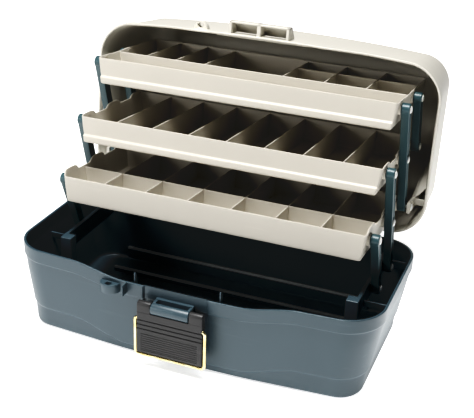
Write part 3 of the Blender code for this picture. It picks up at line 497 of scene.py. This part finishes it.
crown = np.array([0.0, 0.035, 0.035, 0.035, 0.0])
outside = lid_edge_rows(0.0, np.linspace(90.0, 0.0, 13))
inside = lid_edge_rows(lid_wall, np.linspace(0.0, 90.0, 13))
lid_rows = np.vstack([outside[:1] + crown, outside, softened([
    outside[-1],
    level(rim + lid_band + step_in, band_draft + step_in, rim_dip * 0.4),
    level(rim + lid_band, 0.0, rim_dip * 0.7),
    level(rim, 0.0, rim_dip),
    level(rim, lid_wall, rim_dip),
    level(rim + lid_band, band_draft + step_in + lid_wall, rim_dip * 0.4),
    inside[0],
], 0.0009)[1:-1], inside, inside[-1:] + crown])
lid_skin = skin(shell_rings(filled(lid_rows, 0.008)))
lid_plastic = moulded("lid_cream_satin", (0.72, 0.695, 0.625), (0.69, 0.665, 0.597), rough=0.42,
                      grain=0.00045, depth=0.00010, scuff=0.25,
                      constants={"IOR": 1.49, "Specular IOR Level": 0.45})
lid_shell = piece("lid_cover", [opened(lid_skin)], lid_plastic, "lid")
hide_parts("lid_shell")

# Lid fittings. Moulded with the lid: the keeper that the bail hooks over, with two pockets; a padlock ear; a
# stiffening flange inside the front rim; hinge knuckles; and the bosses of the handle.
keeper_front = -0.1310
keeper_back = -0.1142
keeper_low = 0.1035
keeper_high = 0.1165
keeper_half = 0.041
keeper_wall = 0.0022
keeper_plate = 0.0025
pocket_side = 0.0018
pocket_middle = 0.0025
hood = 0.0130
flange_half = 0.0615
outer_knuckles = (0.0143, 0.030)
grip_boss = ((0.0686, -0.008, 0.2471), (0.080, 0.008, 0.2654))
cheek = [(keeper_front, keeper_low), (keeper_front, keeper_high), (keeper_back, keeper_high + hood),
         (keeper_back, keeper_low)]
roof = [(keeper_front, keeper_high - keeper_wall), (keeper_front, keeper_high),
        (keeper_back, keeper_high + hood), (keeper_back, keeper_high + hood - keeper_wall)]
bars = [block((latch_x - keeper_half, keeper_front, keeper_low),
              (latch_x + keeper_half, keeper_front + keeper_plate, keeper_high)),
        plate(roof, latch_x - keeper_half, latch_x + keeper_half)]
for x_mid, half in ((-keeper_half + pocket_side, pocket_side), (0.0, pocket_middle),
                    (keeper_half - pocket_side, pocket_side)):
    bars.append(plate(cheek, latch_x + x_mid - half, latch_x + x_mid + half))
bars.append(lug(radius=0.010, z_low=0.115, z_high=0.125))
bars.append(block((-flange_half, -0.1126, 0.1022), (flange_half, wall_y, 0.1140), 0.0006))
lid_knuckle = np.vstack([barrel, [(0.1122, 0.1240), (0.1122, rim + 0.0003)]])
for station in knuckle_stations:
    bars.append(plate(lid_knuckle, station - outer_knuckles[1], station - outer_knuckles[0]))
    bars.append(plate(lid_knuckle, station + outer_knuckles[0], station + outer_knuckles[1]))
bars += both_ends(*grip_boss, 0.0025)
piece("lid_fittings", [opened(part) for part in bars], lid_plastic, "lid")

# Lift webs. A cream plate inside each end of the lid, one with it: its slotted foot takes the long pin of the
# bottom tray, and a curved gusset along its front edge ties it to the lid's wall.
web_x = (0.2139, 0.2179)
web_foot = np.array([(-0.0503, -0.0083), (-0.0359, 0.0214)]) + (hinge_y, hinge_z)
web_head = np.array([(-0.0359, 0.0204), (-0.0290, 0.1206), (-0.0400, 0.1246), (-0.0950, 0.1246),
                     (-0.0487, 0.0204)]) + (hinge_y, hinge_z)
web_shelf = ((0.2142, 0.0703, 0.1344), (0.2315, 0.0791, 0.1374))
gusset_thick = 0.0020
gusset_cut = 0.28
end_wall_rise = (0.020, 0.095, 0.112, 0.124, 0.130)
end_wall_x = (0.2315, 0.2262, 0.2240, 0.2185, 0.2142)
slot_half = 0.0030
slot_path = np.array([(-0.0431, -0.0011), (-0.0404, 0.0023), (-0.0394, 0.0049), (-0.0401, 0.0082),
                      (-0.0415, 0.0132)]) + (hinge_y, hinge_z)


def slotted(low, high):
    """The foot of a web across X: rays from the slot's middle run from its edge, the farthest that a disc on
    the pin's path reaches, to the edge of a rectangle; the section goes once round each ray."""
    path = np.column_stack([np.interp(np.linspace(0, 4, 41), np.arange(5), line) for line in slot_path.T])
    middle = path[18]
    turn = np.linspace(0.0, 2 * math.pi, 72, endpoint=False)
    ray = np.column_stack([np.cos(turn), np.sin(turn)])
    along = ray @ (path - middle).T
    room = along ** 2 - np.sum((path - middle) ** 2, axis=1) + slot_half ** 2
    inner = np.where(room > 0, along + np.sqrt(np.maximum(room, 0.0)), 0.0).max(axis=1)
    limit = np.where(ray > 0, web_foot[1] - middle, web_foot[0] - middle)
    outer = np.min(np.abs(limit) / np.maximum(np.abs(ray), 1e-6), axis=1)
    reach = np.stack([inner, outer, outer, inner])[..., None]
    x = np.broadcast_to(np.array([low, low, high, high])[:, None, None], reach.shape)
    return skin(np.concatenate([x, middle + reach * ray], axis=-1), True)


def gusset(side):
    """A thin strip along the web's front edge: its inner edge is straight, its outer edge follows the lid's
    end wall, which rounds in towards the top, and its foot is cut away by a power curve towards the wall."""
    across = np.linspace(0.0, 1.0, 9)
    share = np.linspace(0.0, 1.0, 25)[:, None] * (1 - gusset_cut * across ** 1.5)
    front = web_head[3] * (1 - share[..., None]) + web_head[4] * share[..., None]
    wall = np.interp(front[..., 1] - rim, end_wall_rise, end_wall_x)
    x = web_x[0] + (wall - web_x[0]) * across
    back = front + gusset_thick * np.array([0.89, 0.45])
    loop = np.concatenate([np.concatenate([side * x[..., None], front], axis=-1),
                           np.concatenate([side * x[..., None], back], axis=-1)[:, ::-1]], axis=1)
    return skin(loop)


left_web_x = (-web_x[1], -web_x[0])
webs = [plate(web_head, *web_x), plate(web_head, *left_web_x), slotted(*web_x), slotted(*left_web_x),
        gusset(1.0), gusset(-1.0)]
webs += both_ends(*web_shelf)
piece("lid_lift_webs", [opened(part) for part in webs], lid_plastic, "lid")

# Steel pins. The hinge rods, the latch pin and the handle's pins are plain drawn steel, pressed through the
# knuckles, the bridge and the bosses; their solids are kept and given a fine drawn finish.
rod_steel, rod_shader, rod_place = finish("drawn_steel", {"Metallic": 1.0, "IOR": 2.5})
drawn = rod_place.noise(900.0, 2.0, (0.02, 1.0, 1.0))
feed(rod_shader, Base_Color=drawn.blend((0.50, 0.50, 0.50), (0.66, 0.66, 0.65)))
feed(rod_shader, Roughness=0.24 + drawn * 0.18)
for name in ("hinge_rod_left", "hinge_rod_right", "latch_pin", "handle_pin_left", "handle_pin_right"):
    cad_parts[name].data.materials.clear()
    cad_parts[name].data.materials.append(rod_steel)

# Trays. Three thin ivory plastic mouldings with drafted ends, soft rims, end walls that rise round the arm
# pivots and upright dividers; the upper two have a skirt lip along the bottom of the front. Rivets through
# the end walls hang them on the arms.
tray_depth = 0.172
tray_height = 0.0335
tray_wall = 0.0018
tray_floor = 0.0018
end_draft = 0.006
face_draft = 0.0015
tray_corner = 0.005
lip_out = 0.0018
lip_low = -0.024
tray_tilt = -6.0
first_pivot = 0.018
pivot_pitch = 0.070
pivot_drop = 0.0094
pad_in = 0.1972
crest_half = 0.020
tray_walk = rounded_walk(60, 130, 12)
tray_places = {"bottom": (-0.033, 0.1828), "middle": (0.0166, 0.24755), "top": (0.0662, 0.3123)}


def tray_pivot(order):
    """A tray's arm pivot, measured from its front top edge."""
    return np.array([first_pivot + pivot_pitch * order, -pivot_drop])


def hung(points, tray):
    """Points drawn from a tray's front top edge, leaned back and set in their open place."""
    y, z = tray_places[tray]
    return swung(points, tray_tilt, 0.0, 0.0) + np.array([0.0, y, z])


def tray_rings(rows, low, crest, count):
    """Rings of a tray from rows of height, insets of ends, front and rear, and how far the wavy end tops
    count. An end's top is low, with a smooth crest to its own height about each of the first pivots."""
    share_x, share_y, out_x, out_y = tray_walk
    z, in_end, in_front, in_rear, wave = rows.T[:, :, None]
    half = half_tray - in_end
    rear = tray_depth - in_rear
    corner = tray_corner - np.minimum(np.maximum(in_end, 0.0), tray_corner * 0.6)
    x = share_x * (half - corner) + corner * out_x
    y = (1 - share_y) * (in_front + corner) + share_y * (rear - corner) + corner * out_y
    rise = low + 0 * y
    for order in range(count):
        near = np.clip(1 - ((y - tray_pivot(order)[0]) / crest_half) ** 2, 0.0, 1.0)
        rise = np.maximum(rise, low + (crest - low) * near * (2 - near))
    fade = np.clip(np.minimum(y - in_front, rear - y) / corner, 0.0, 1.0) * s_curve(np.abs(out_x), 0.2, 0.9)
    return np.stack([x, y, z + wave * rise * fade], axis=-1)


def fence(low_ends, top_ends, base, top, thick=0.0017, foot=0.0010):
    """An upright divider between two plan points: a section with a round top and a hollow fillet at its foot,
    carried from one end to the other; low and top ends differ where the walls it meets lean."""
    turn = np.linspace(0.0, math.pi, 9)
    round_off = np.column_stack([thick / 2 * np.cos(turn), top - thick / 2 + thick / 2 * np.sin(turn)])
    sweep = np.linspace(0.0, math.pi / 2, 5)
    flare = np.column_stack([thick / 2 + foot * (1 - np.sin(sweep)), base + foot * (1 - np.cos(sweep))])
    side = np.vstack([flare, round_off, flare[::-1] * np.array([-1.0, 1.0])])
    low_ends = np.array(low_ends, float)[:, None]
    top_ends = np.array(top_ends, float)[:, None]
    share = ((side[:, 1] - base) / (top - base))[:, None]
    line = low_ends * (1 - share) + top_ends * share
    along = low_ends[1, 0] - low_ends[0, 0]
    normal = np.array([-along[1], along[0]]) / np.linalg.norm(along)
    spots = line + side[:, :1] * normal
    return skin(np.concatenate([spots, np.broadcast_to(side[:, 1:], (2, len(side), 1))], axis=-1))


def tray_parts(lip, low, crest, count, along, across):
    """A tray about its front top edge: shell, dividers along X and across, and pivot pads."""
    flare = -lip_out if lip else face_draft
    share = -lip_low / tray_height
    floor_z = tray_floor - tray_height
    middle = [end_draft * share, face_draft * share, face_draft * share]
    bottom = [end_draft, flare, face_draft]
    inner = np.array([end_draft, face_draft, face_draft]) + tray_wall
    rows = softened([
        level(-tray_height, np.array(bottom) + 0.006),
        level(-tray_height, bottom),
        level(lip_low - 0.0010, [middle[0], flare * 0.75, middle[2]]),
        level(lip_low + 0.0010, middle),
        level(0.0, 0.0, 1.0),
        level(0.0, tray_wall, 1.0),
        level(floor_z, inner),
        level(floor_z, inner + 0.006),
    ], [0, 0.0024, 0.0012, 0.0012, 0.0008, 0.0008, 0.0022, 0], 5)
    parts = [skin(tray_rings(filled(rows, 0.006), low, crest, count))]
    base = floor_z - 0.0004
    top = -0.0012
    ends = [half_tray + end_draft * z / tray_height - tray_wall * 0.5 for z in (base, top)]
    for x, y in along:
        low_line, top_line = ([(max(x, -end), y), (end, y)] for end in ends)
        parts.append(fence(low_line, top_line, base, top))
    for x, y0, y1 in across:
        parts.append(fence([(x, y0 + 0.001), (x, y1 - 0.001)], [(x, y0), (x, y1)], base, top))
    for order in range(count):
        parts += pad(pad_in, half_tray + pad_proud, *tray_pivot(order))
    return parts


tray_plastic = moulded("tray_ivory_satin", (0.618, 0.584, 0.516), (0.588, 0.555, 0.489), rough=0.44,
                       grain=0.00040, depth=0.00008, scuff=0.2,
                       constants={"IOR": 1.49, "Specular IOR Level": 0.45})
far = tray_depth - tray_wall * 0.5
near = tray_wall * 0.5
front_row = 0.0548
trough = 0.0588
small_row = 0.1215
left_cell = 0.042
right_cell = 0.055
sevenths = [(half_tray * (2 * k / 7 - 1), near, far) for k in range(1, 7)]
eighths = [(half_tray * (2 * k / 8 - 1), near, far) for k in range(1, 8)]
small_cells = [(left_cell * k - half_tray, trough, far) for k in (1, 2, 3)]
small_cells += [(half_tray - right_cell * k, trough, far) for k in (1, 2, 3)]
tray_designs = {
    "bottom": tray_parts(lip=False, low=0.001, crest=0.008, count=3, along=[(-1.0, front_row)],
                         across=sevenths),
    "middle": tray_parts(lip=True, low=-0.004, crest=0.002, count=3, along=[], across=eighths),
    "top": tray_parts(lip=True, low=-0.0004, crest=0.0004, count=2,
                      along=[(-1.0, trough), (half_tray - 3 * right_cell, small_row)], across=small_cells),
}
for tray, parts in tray_designs.items():
    made = piece("ivory_tray_" + tray, [(hung(p, tray), f) for p, f in parts], tray_plastic, tray + "_tray")
    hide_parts("tray_" + tray, *(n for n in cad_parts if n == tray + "_tray_dividers"))

# Arms. Straight bars of dark teal plastic, one set at each end, that carry every tray on the one below; the
# outer face has a raised border, and a round boss at each pivot.
arm_in = 0.2010
arm_thick = 0.010
arm_half = 0.0062
arm_knob = 0.0072
boss_proud = 0.0101
boss_round = 0.0058
box_ends = (("left", -1.0), ("right", 1.0))
arm_plastic = moulded("arm_teal_dark", (0.060, 0.110, 0.122), (0.052, 0.096, 0.107), rough=0.36,
                      grain=0.00035, depth=0.00006, scuff=0.5,
                      constants={"IOR": 1.5, "Specular IOR Level": 0.5})


def world_pivot(tray, order):
    """World (y, z) of a tray's pivot in the open pose."""
    y, z = tray_pivot(order)
    return hung(np.array([[0.0, y, z]]), tray)[0, 1:]


def arm_rings(start, end, rows, side):
    """Rings of an arm from rows of distance across X and inset: the outline is a bar with round, slightly
    wider ends about its first and last pivot, moved in evenly."""
    reach = np.linalg.norm(end - start)
    ahead = (end - start) / reach
    aside = np.array([-ahead[1], ahead[0]])
    offset, inset = rows.T[:, :, None]
    wide = arm_half - inset
    knob = arm_knob - inset
    neck = np.arcsin(wide / knob)
    sweep = np.linspace(-1.0, 1.0, 21) * (math.pi - neck)
    far_x = reach + knob * np.cos(sweep)
    near_x = -knob * np.cos(sweep)
    along = np.concatenate([far_x, near_x], axis=1)
    over = np.concatenate([knob * np.sin(sweep), -knob * np.sin(sweep)], axis=1)
    spots = start + along[..., None] * ahead + over[..., None] * aside
    x = side * (arm_in + offset) + 0 * along
    return np.concatenate([x[..., None], spots], axis=-1)


arm_sunk = arm_thick - 0.0010
arm_profile = softened([(0.0, 0.0030), (0.0, 0.0), (arm_thick, 0.0), (arm_thick, 0.0021), (arm_sunk, 0.0024),
                        (arm_sunk, 0.0045)], [0, 0.0009, 0.0009, 0.0004, 0.0004, 0], 4)
boss = softened([(arm_in + arm_thick - 0.0016, boss_round), (arm_in + boss_proud, boss_round),
                 (arm_in + boss_proud, 0.002)], 0.0005)
arm_sets = {
    "front": [front_base, world_pivot("bottom", 0)],
    "second": [second_base, world_pivot("bottom", 1), world_pivot("middle", 0)],
    "third": [world_pivot("bottom", 2), world_pivot("middle", 1), world_pivot("top", 0)],
    "rear": [world_pivot("middle", 2), world_pivot("top", 1)],
}
for label, stops in arm_sets.items():
    for end, side in box_ends:
        parts = [skin(arm_rings(stops[0], stops[-1], arm_profile, side))]
        for y, z in stops:
            parts.append(spun(boss * np.array([side, 1.0]), y, z, 32))
        made = piece(f"cantilever_{label}_{end}", parts, arm_plastic, "arms_" + label)
        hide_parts(f"arm_{label}_{end}")

# Rivets. Pale nylon pins with domed outer heads, snapped through arm and tray; the rear pair of the bottom
# tray is longer and runs in the lid's lift webs.
rivet_nylon = moulded("rivet_nylon", (0.86, 0.86, 0.83), (0.82, 0.82, 0.79), rough=0.30,
                      grain=0.00030, depth=0.00003, scuff=0.3,
                      constants={"IOR": 1.53, "Specular IOR Level": 0.5, "Subsurface Weight": 0.05})
shank = 0.0024
head = 0.0046
dome_rise = 0.0018
arm_face = 0.2113
web_face = 0.2182
rail_end = 0.1960
tray_end = 0.1976
dome = np.radians(np.linspace(0.0, 84.0, 9))
rivet_sets = {
    "base": (rail_end, [front_base, second_base]),
    "bottom_tray": (tray_end, [world_pivot("bottom", k) for k in range(3)]),
    "middle_tray": (tray_end, [world_pivot("middle", k) for k in range(3)]),
    "top_tray": (tray_end, [world_pivot("top", k) for k in range(2)]),
}
for label, (inner, stops) in rivet_sets.items():
    for order, (y, z) in enumerate(stops, 1):
        face = web_face if (label, order) == ("bottom_tray", 3) else arm_face
        cap = np.column_stack([face + 0.0002 + dome_rise * np.sin(dome), head * np.cos(dome)])
        profile = np.vstack([[(inner, 0.0010), (inner, shank), (face, shank), (face, head)], cap])
        for end, side in box_ends:
            made = piece(f"snap_{label}_{order}_{end}", [spun(profile * np.array([side, 1.0]), y, z, 28)],
                         rivet_nylon, label)
            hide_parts(f"{label}_rivet_{order}_{end}")

# Latch lever. A black plastic plate moulded with two side arms that turn on the latch pin; three finger
# grooves cross its face above a finely ribbed panel.
lever_half = 0.0425
plate_low = -0.062
plate_high = -0.0081
plate_front = -0.006
plate_back = -0.001
brow = 0.0024
lever_edge = 0.0008
face_rows = 190
groove_rows = (-0.0165, -0.0225, -0.0285)
groove_wide = 0.00055
groove_deep = 0.0010
panel_sunk = 0.0003
panel_top = -0.0335
panel_foot = -0.0590
rib_pitch = 0.0030
rib_high = 0.0005
lever_arm_x = (0.0248, 0.0422)
lever_plastic = moulded("lever_black", (0.054, 0.053, 0.053), (0.044, 0.044, 0.044), rough=0.42,
                        grain=0.00030, depth=0.00008, scuff=0.6,
                        constants={"IOR": 1.5, "Specular IOR Level": 0.5})


def lever_face(x, z):
    """How far the lever's face is sunk: three round-bottomed grooves, and a panel sunk within a border and
    crossed by fine ribs."""
    grooves = sum(np.exp(-((z - at) / groove_wide) ** 2) for at in groove_rows)
    panel = s_curve(panel_top - z, 0.0, 0.0008) * s_curve(z - panel_foot, 0.0, 0.0008)
    panel = panel * (1 - s_curve(np.abs(x), lever_half - 0.0060, lever_half - 0.0050))
    ribs = 0.5 - 0.5 * np.cos(2 * math.pi * (z - panel_top) / rib_pitch)
    return groove_deep * grooves + panel * (panel_sunk + rib_high * ribs)


front_z = np.linspace(plate_high + brow - lever_edge, plate_low + lever_edge, face_rows)
edge_turn = np.linspace(0.0, math.pi / 2, 5)[:-1]
round_y = plate_front + lever_edge * (1 - np.sin(edge_turn))
round_z = lever_edge * (1 - np.cos(edge_turn))
loop_y = np.concatenate([round_y, np.full(face_rows, plate_front), round_y[::-1], [plate_back, plate_back]])
loop_z = np.concatenate([plate_high + brow - round_z, front_z, (plate_low + round_z)[::-1],
                         [plate_low, plate_high]])
faced = np.concatenate([np.zeros(4), np.ones(face_rows), np.zeros(6)])
edge_steps = np.array([0.978, 0.988, 0.996, 1.0])
lever_x = np.concatenate([-edge_steps[::-1], np.linspace(-0.96, 0.96, 97), edge_steps])[:, None] * lever_half
ends_in = lever_edge * s_curve(np.abs(lever_x), lever_half - 0.0009, lever_half)
at_front = loop_y < (plate_front + plate_back) / 2
lever_y = loop_y + faced * lever_face(lever_x, loop_z) + at_front * ends_in
lever_rings = np.stack([latch_x + lever_x + 0 * lever_y, latch_y + lever_y, latch_z + loop_z + 0 * lever_y],
                       axis=-1)
lever_parts = [skin(lever_rings)]
lever_arm = np.vstack([arc(latch_y - 0.0006, latch_z + 0.0023, 0.0051, 0.0, 180.0, 16),
                       [(latch_y - 0.0057, latch_z - 0.0140), (latch_y - 0.0045, latch_z - 0.0201),
                        (latch_y + 0.0045, latch_z - 0.0201)]])
for low, high in (lever_arm_x, (-lever_arm_x[1], -lever_arm_x[0])):
    lever_parts.append(plate(lever_arm, latch_x + low, latch_x + high, lever_edge))
lever = piece("ribbed_lever", lever_parts, lever_plastic, "latch_lever")
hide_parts("latch_lever")

# Bail. One bent brass wire whose turned-in ends snap into the lever's sides and turn there; it hangs round
# the lever's plate, and on the shut box it swings up to the keeper.
wire_radius = 0.0020
leg_x = 0.0452
wire_end = 0.0365
bail_y = latch_y - 0.0035
bail_z = latch_z - 0.014
bail_low = -0.0515
bail_bend = 0.0045


def bent(corners, radius, steps=8):
    """A polyline with its square inner corners bent to arcs of one radius."""
    corners = np.array(corners, float)
    out = [corners[:1]]
    t = np.linspace(0.0, math.pi / 2, steps)[:, None]
    for before, here, after in zip(corners, corners[1:], corners[2:]):
        back = (before - here) / np.linalg.norm(before - here)
        ahead = (after - here) / np.linalg.norm(after - here)
        out.append(here + radius * (back + ahead) - radius * (np.cos(t) * ahead + np.sin(t) * back))
    out.append(corners[-1:])
    return np.vstack(out)


def rod_along(path, radius, flat, sides=20):
    """A round rod along a path that lies in a plane: circles in the path's own normal and the plane's."""
    along = np.gradient(path, axis=0)
    along /= np.linalg.norm(along, axis=1)[:, None]
    side = np.cross(along, flat)
    turn = np.linspace(0.0, 2 * math.pi, sides, endpoint=False)[:, None]
    radius = np.broadcast_to(radius, len(path))[:, None, None]
    return path[:, None] + radius * (np.cos(turn) * side[:, None] + np.sin(turn) * flat)


bail_path = bent([(-wire_end, 0, 0), (-leg_x, 0, 0), (-leg_x, 0, bail_low), (leg_x, 0, bail_low),
                  (leg_x, 0, 0), (wire_end, 0, 0)], bail_bend) + np.array([latch_x, bail_y, bail_z])
wire_brass, brass_shader, brass_place = finish("bright_brass", {"Metallic": 1.0})
worn = brass_place.noise(60.0, 3.0).clipped(0.40, 0.65)
lines = brass_place.noise(1500.0, 2.0, (0.3, 1.0, 0.05))
feed(brass_shader, Base_Color=worn.blend((0.80, 0.66, 0.33), (0.93, 0.86, 0.58)))
feed(brass_shader, Roughness=0.20 + lines * 0.16 + worn * 0.06)
feed(brass_shader, Normal=lines.make("ShaderNodeBump", {}, {"Strength": 0.2, "Distance": 0.00003,
                                                            "Height": lines}))
wire = skin(rod_along(bail_path, wire_radius, np.array([0.0, 1.0, 0.0])))
bail = piece("brass_bail", [wire], wire_brass, "bail")
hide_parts("bail_wire")

# Carry handle. A black moulded grip, bent square, whose legs turn on two pins in the lid's bosses; its bar is
# ringed with shallow finger grooves, and it lies folded on the lid's top.
handle_half = 0.0615
handle_reach = 0.046
handle_bar = 0.0065
handle_bend = 0.014
handle_z = 0.2594
ring_pitch = 0.0050
ring_deep = 0.0005
ringed = (0.040, 0.046)
grip_path = bent([(-handle_half, -handle_bar, 0), (-handle_half, handle_reach, 0),
                  (handle_half, handle_reach, 0), (handle_half, -handle_bar, 0)], handle_bend, 12)
grip_path = filled(grip_path, 0.0008) + np.array([0.0, 0.0, handle_z])
gripped = 1 - s_curve(np.abs(grip_path[:, 0]), *ringed)
bumps = 0.5 - 0.5 * np.cos(2 * math.pi * grip_path[:, 0] / ring_pitch)
grip_radius = handle_bar - ring_deep * gripped * bumps ** 4
grip_plastic = moulded("grip_black", (0.022, 0.022, 0.023), (0.017, 0.017, 0.018), rough=0.48,
                       grain=0.00035, depth=0.00010, scuff=0.5,
                       constants={"IOR": 1.5, "Specular IOR Level": 0.5})
grip = skin(rod_along(grip_path, grip_radius, np.array([0.0, 0.0, 1.0]), 28))
handle = piece("folded_grip", [opened(grip)], grip_plastic, "handle", 60.0)
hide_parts("carry_handle")

# Studio. A pale floor that glows softly, most at the box's right; a broad light above, a weak low one at the
# front left, and a white room behind. A tone curve deepens the shadows, and the camera has the photograph's
# angle.
floor_half = 6.0
floor_level = -0.0006
bright_spot = (0.36, 0.10, 0.0)
brightest = 2.5
corners = [(-floor_half, -floor_half, floor_level), (floor_half, -floor_half, floor_level),
           (floor_half, floor_half, floor_level), (-floor_half, floor_half, floor_level)]
floor_mesh = bpy.data.meshes.new("pale_floor")
floor_mesh.from_pydata(corners, [], [(0, 1, 2, 3)])
pale, pale_shader, pale_place = finish("pale_floor", {"Roughness": 0.9, "Specular IOR Level": 0.1,
                                                      "Emission Strength": 0.95})
feed(pale_shader, Base_Color=pale_place.noise(3.0).blend((0.86, 0.86, 0.86), (0.88, 0.88, 0.88)))
away = pale_place.make("ShaderNodeVectorMath", {"operation": "LENGTH"}, {0: pale_place}, 1)
rightward = pale_place.make("ShaderNodeSeparateXYZ", {}, {0: pale_place}, 0)
beside = pale_place.make("ShaderNodeVectorMath", {"operation": "DISTANCE"},
                         {0: pale_place, 1: bright_spot}, 1)
glow = away.clipped(-1.2, 0.6) * (1.0 - rightward.clipped(-0.2, 1.2) * 0.45)
glow = glow + (1.0 - beside.clipped(0.05, 0.30)) * 1.2
# A mix of colours stops at one, so the glow reaches it as a share of its brightest value.
feed(pale_shader, Emission_Color=(glow * (1 / brightest)).blend((0.0, 0.0, 0.0), (brightest,) * 3))
floor_mesh.materials.append(pale)
floor = bpy.data.objects.new("pale_floor", floor_mesh)
bpy.context.scene.collection.objects.link(floor)


def softbox(name, place, aim, wide, tall, power):
    """A rectangular area light at a place, turned to its aim."""
    light = bpy.data.lights.new(name, "AREA")
    light.shape = "RECTANGLE"
    light.size = wide
    light.size_y = tall
    light.energy = power
    lamp = bpy.data.objects.new(name, light)
    lamp.location = place
    lamp.rotation_euler = (Vector(aim) - Vector(place)).to_track_quat("-Z", "Y").to_euler()
    bpy.context.scene.collection.objects.link(lamp)


softbox("front_fill", (-1.2, -1.6, 0.85), (0.0, 0.0, 0.20), wide=0.9, tall=0.6, power=10.0)
softbox("overhead", (-0.15, -0.34, 2.2), (0.0, -0.05, 0.1), wide=0.9, tall=0.8, power=66.0)
world = bpy.data.worlds.new("white_room")
world.use_nodes = True
# The room shows white to the camera and hardly lights the box.
background = world.node_tree.nodes["Background"]
background.inputs["Color"].default_value = (1.0, 1.0, 1.0, 1.0)
rays = world.node_tree.nodes.new("ShaderNodeLightPath")
seen = Socket(world.node_tree, rays.outputs["Is Camera Ray"]) + 0.01
world.node_tree.links.new(seen.socket, background.inputs["Strength"])
bpy.context.scene.world = world
picture = bpy.context.scene.view_settings
picture.view_transform = "Standard"
picture.use_curve_mapping = True
tones = picture.curve_mapping.curves[3]
for dark, deep in ((0.005, 0.0014), (0.014, 0.0062), (0.04, 0.0115), (0.10, 0.046), (0.20, 0.145),
                   (0.40, 0.38)):
    tones.points.new(dark, deep)
picture.curve_mapping.update()

# The camera's axes come from the photograph's azimuth and elevation, and a slight roll.
azimuth, elevation, roll = np.radians([20.72, 25.47, 2.00])
back = np.array([math.sin(azimuth) * math.cos(elevation), -math.cos(azimuth) * math.cos(elevation),
                 math.sin(elevation)])
right = np.array([math.cos(azimuth), math.sin(azimuth), 0.0])
up = np.cross(back, right)
right, up = math.cos(roll) * right + math.sin(roll) * up, math.cos(roll) * up - math.sin(roll) * right
lens = bpy.data.cameras.new("photo_camera")
lens.sensor_fit = "HORIZONTAL"
lens.sensor_width = 36.0
lens.lens = 76.27
camera = bpy.data.objects.new("photo_camera", lens)
camera_place = (0.42254, -1.0479, 0.70194)
axes = Matrix(np.column_stack([right, up, back]).tolist()).to_4x4()
camera.matrix_world = Matrix.Translation(camera_place) @ axes
bpy.context.scene.collection.objects.link(camera)
bpy.context.scene.camera = camera
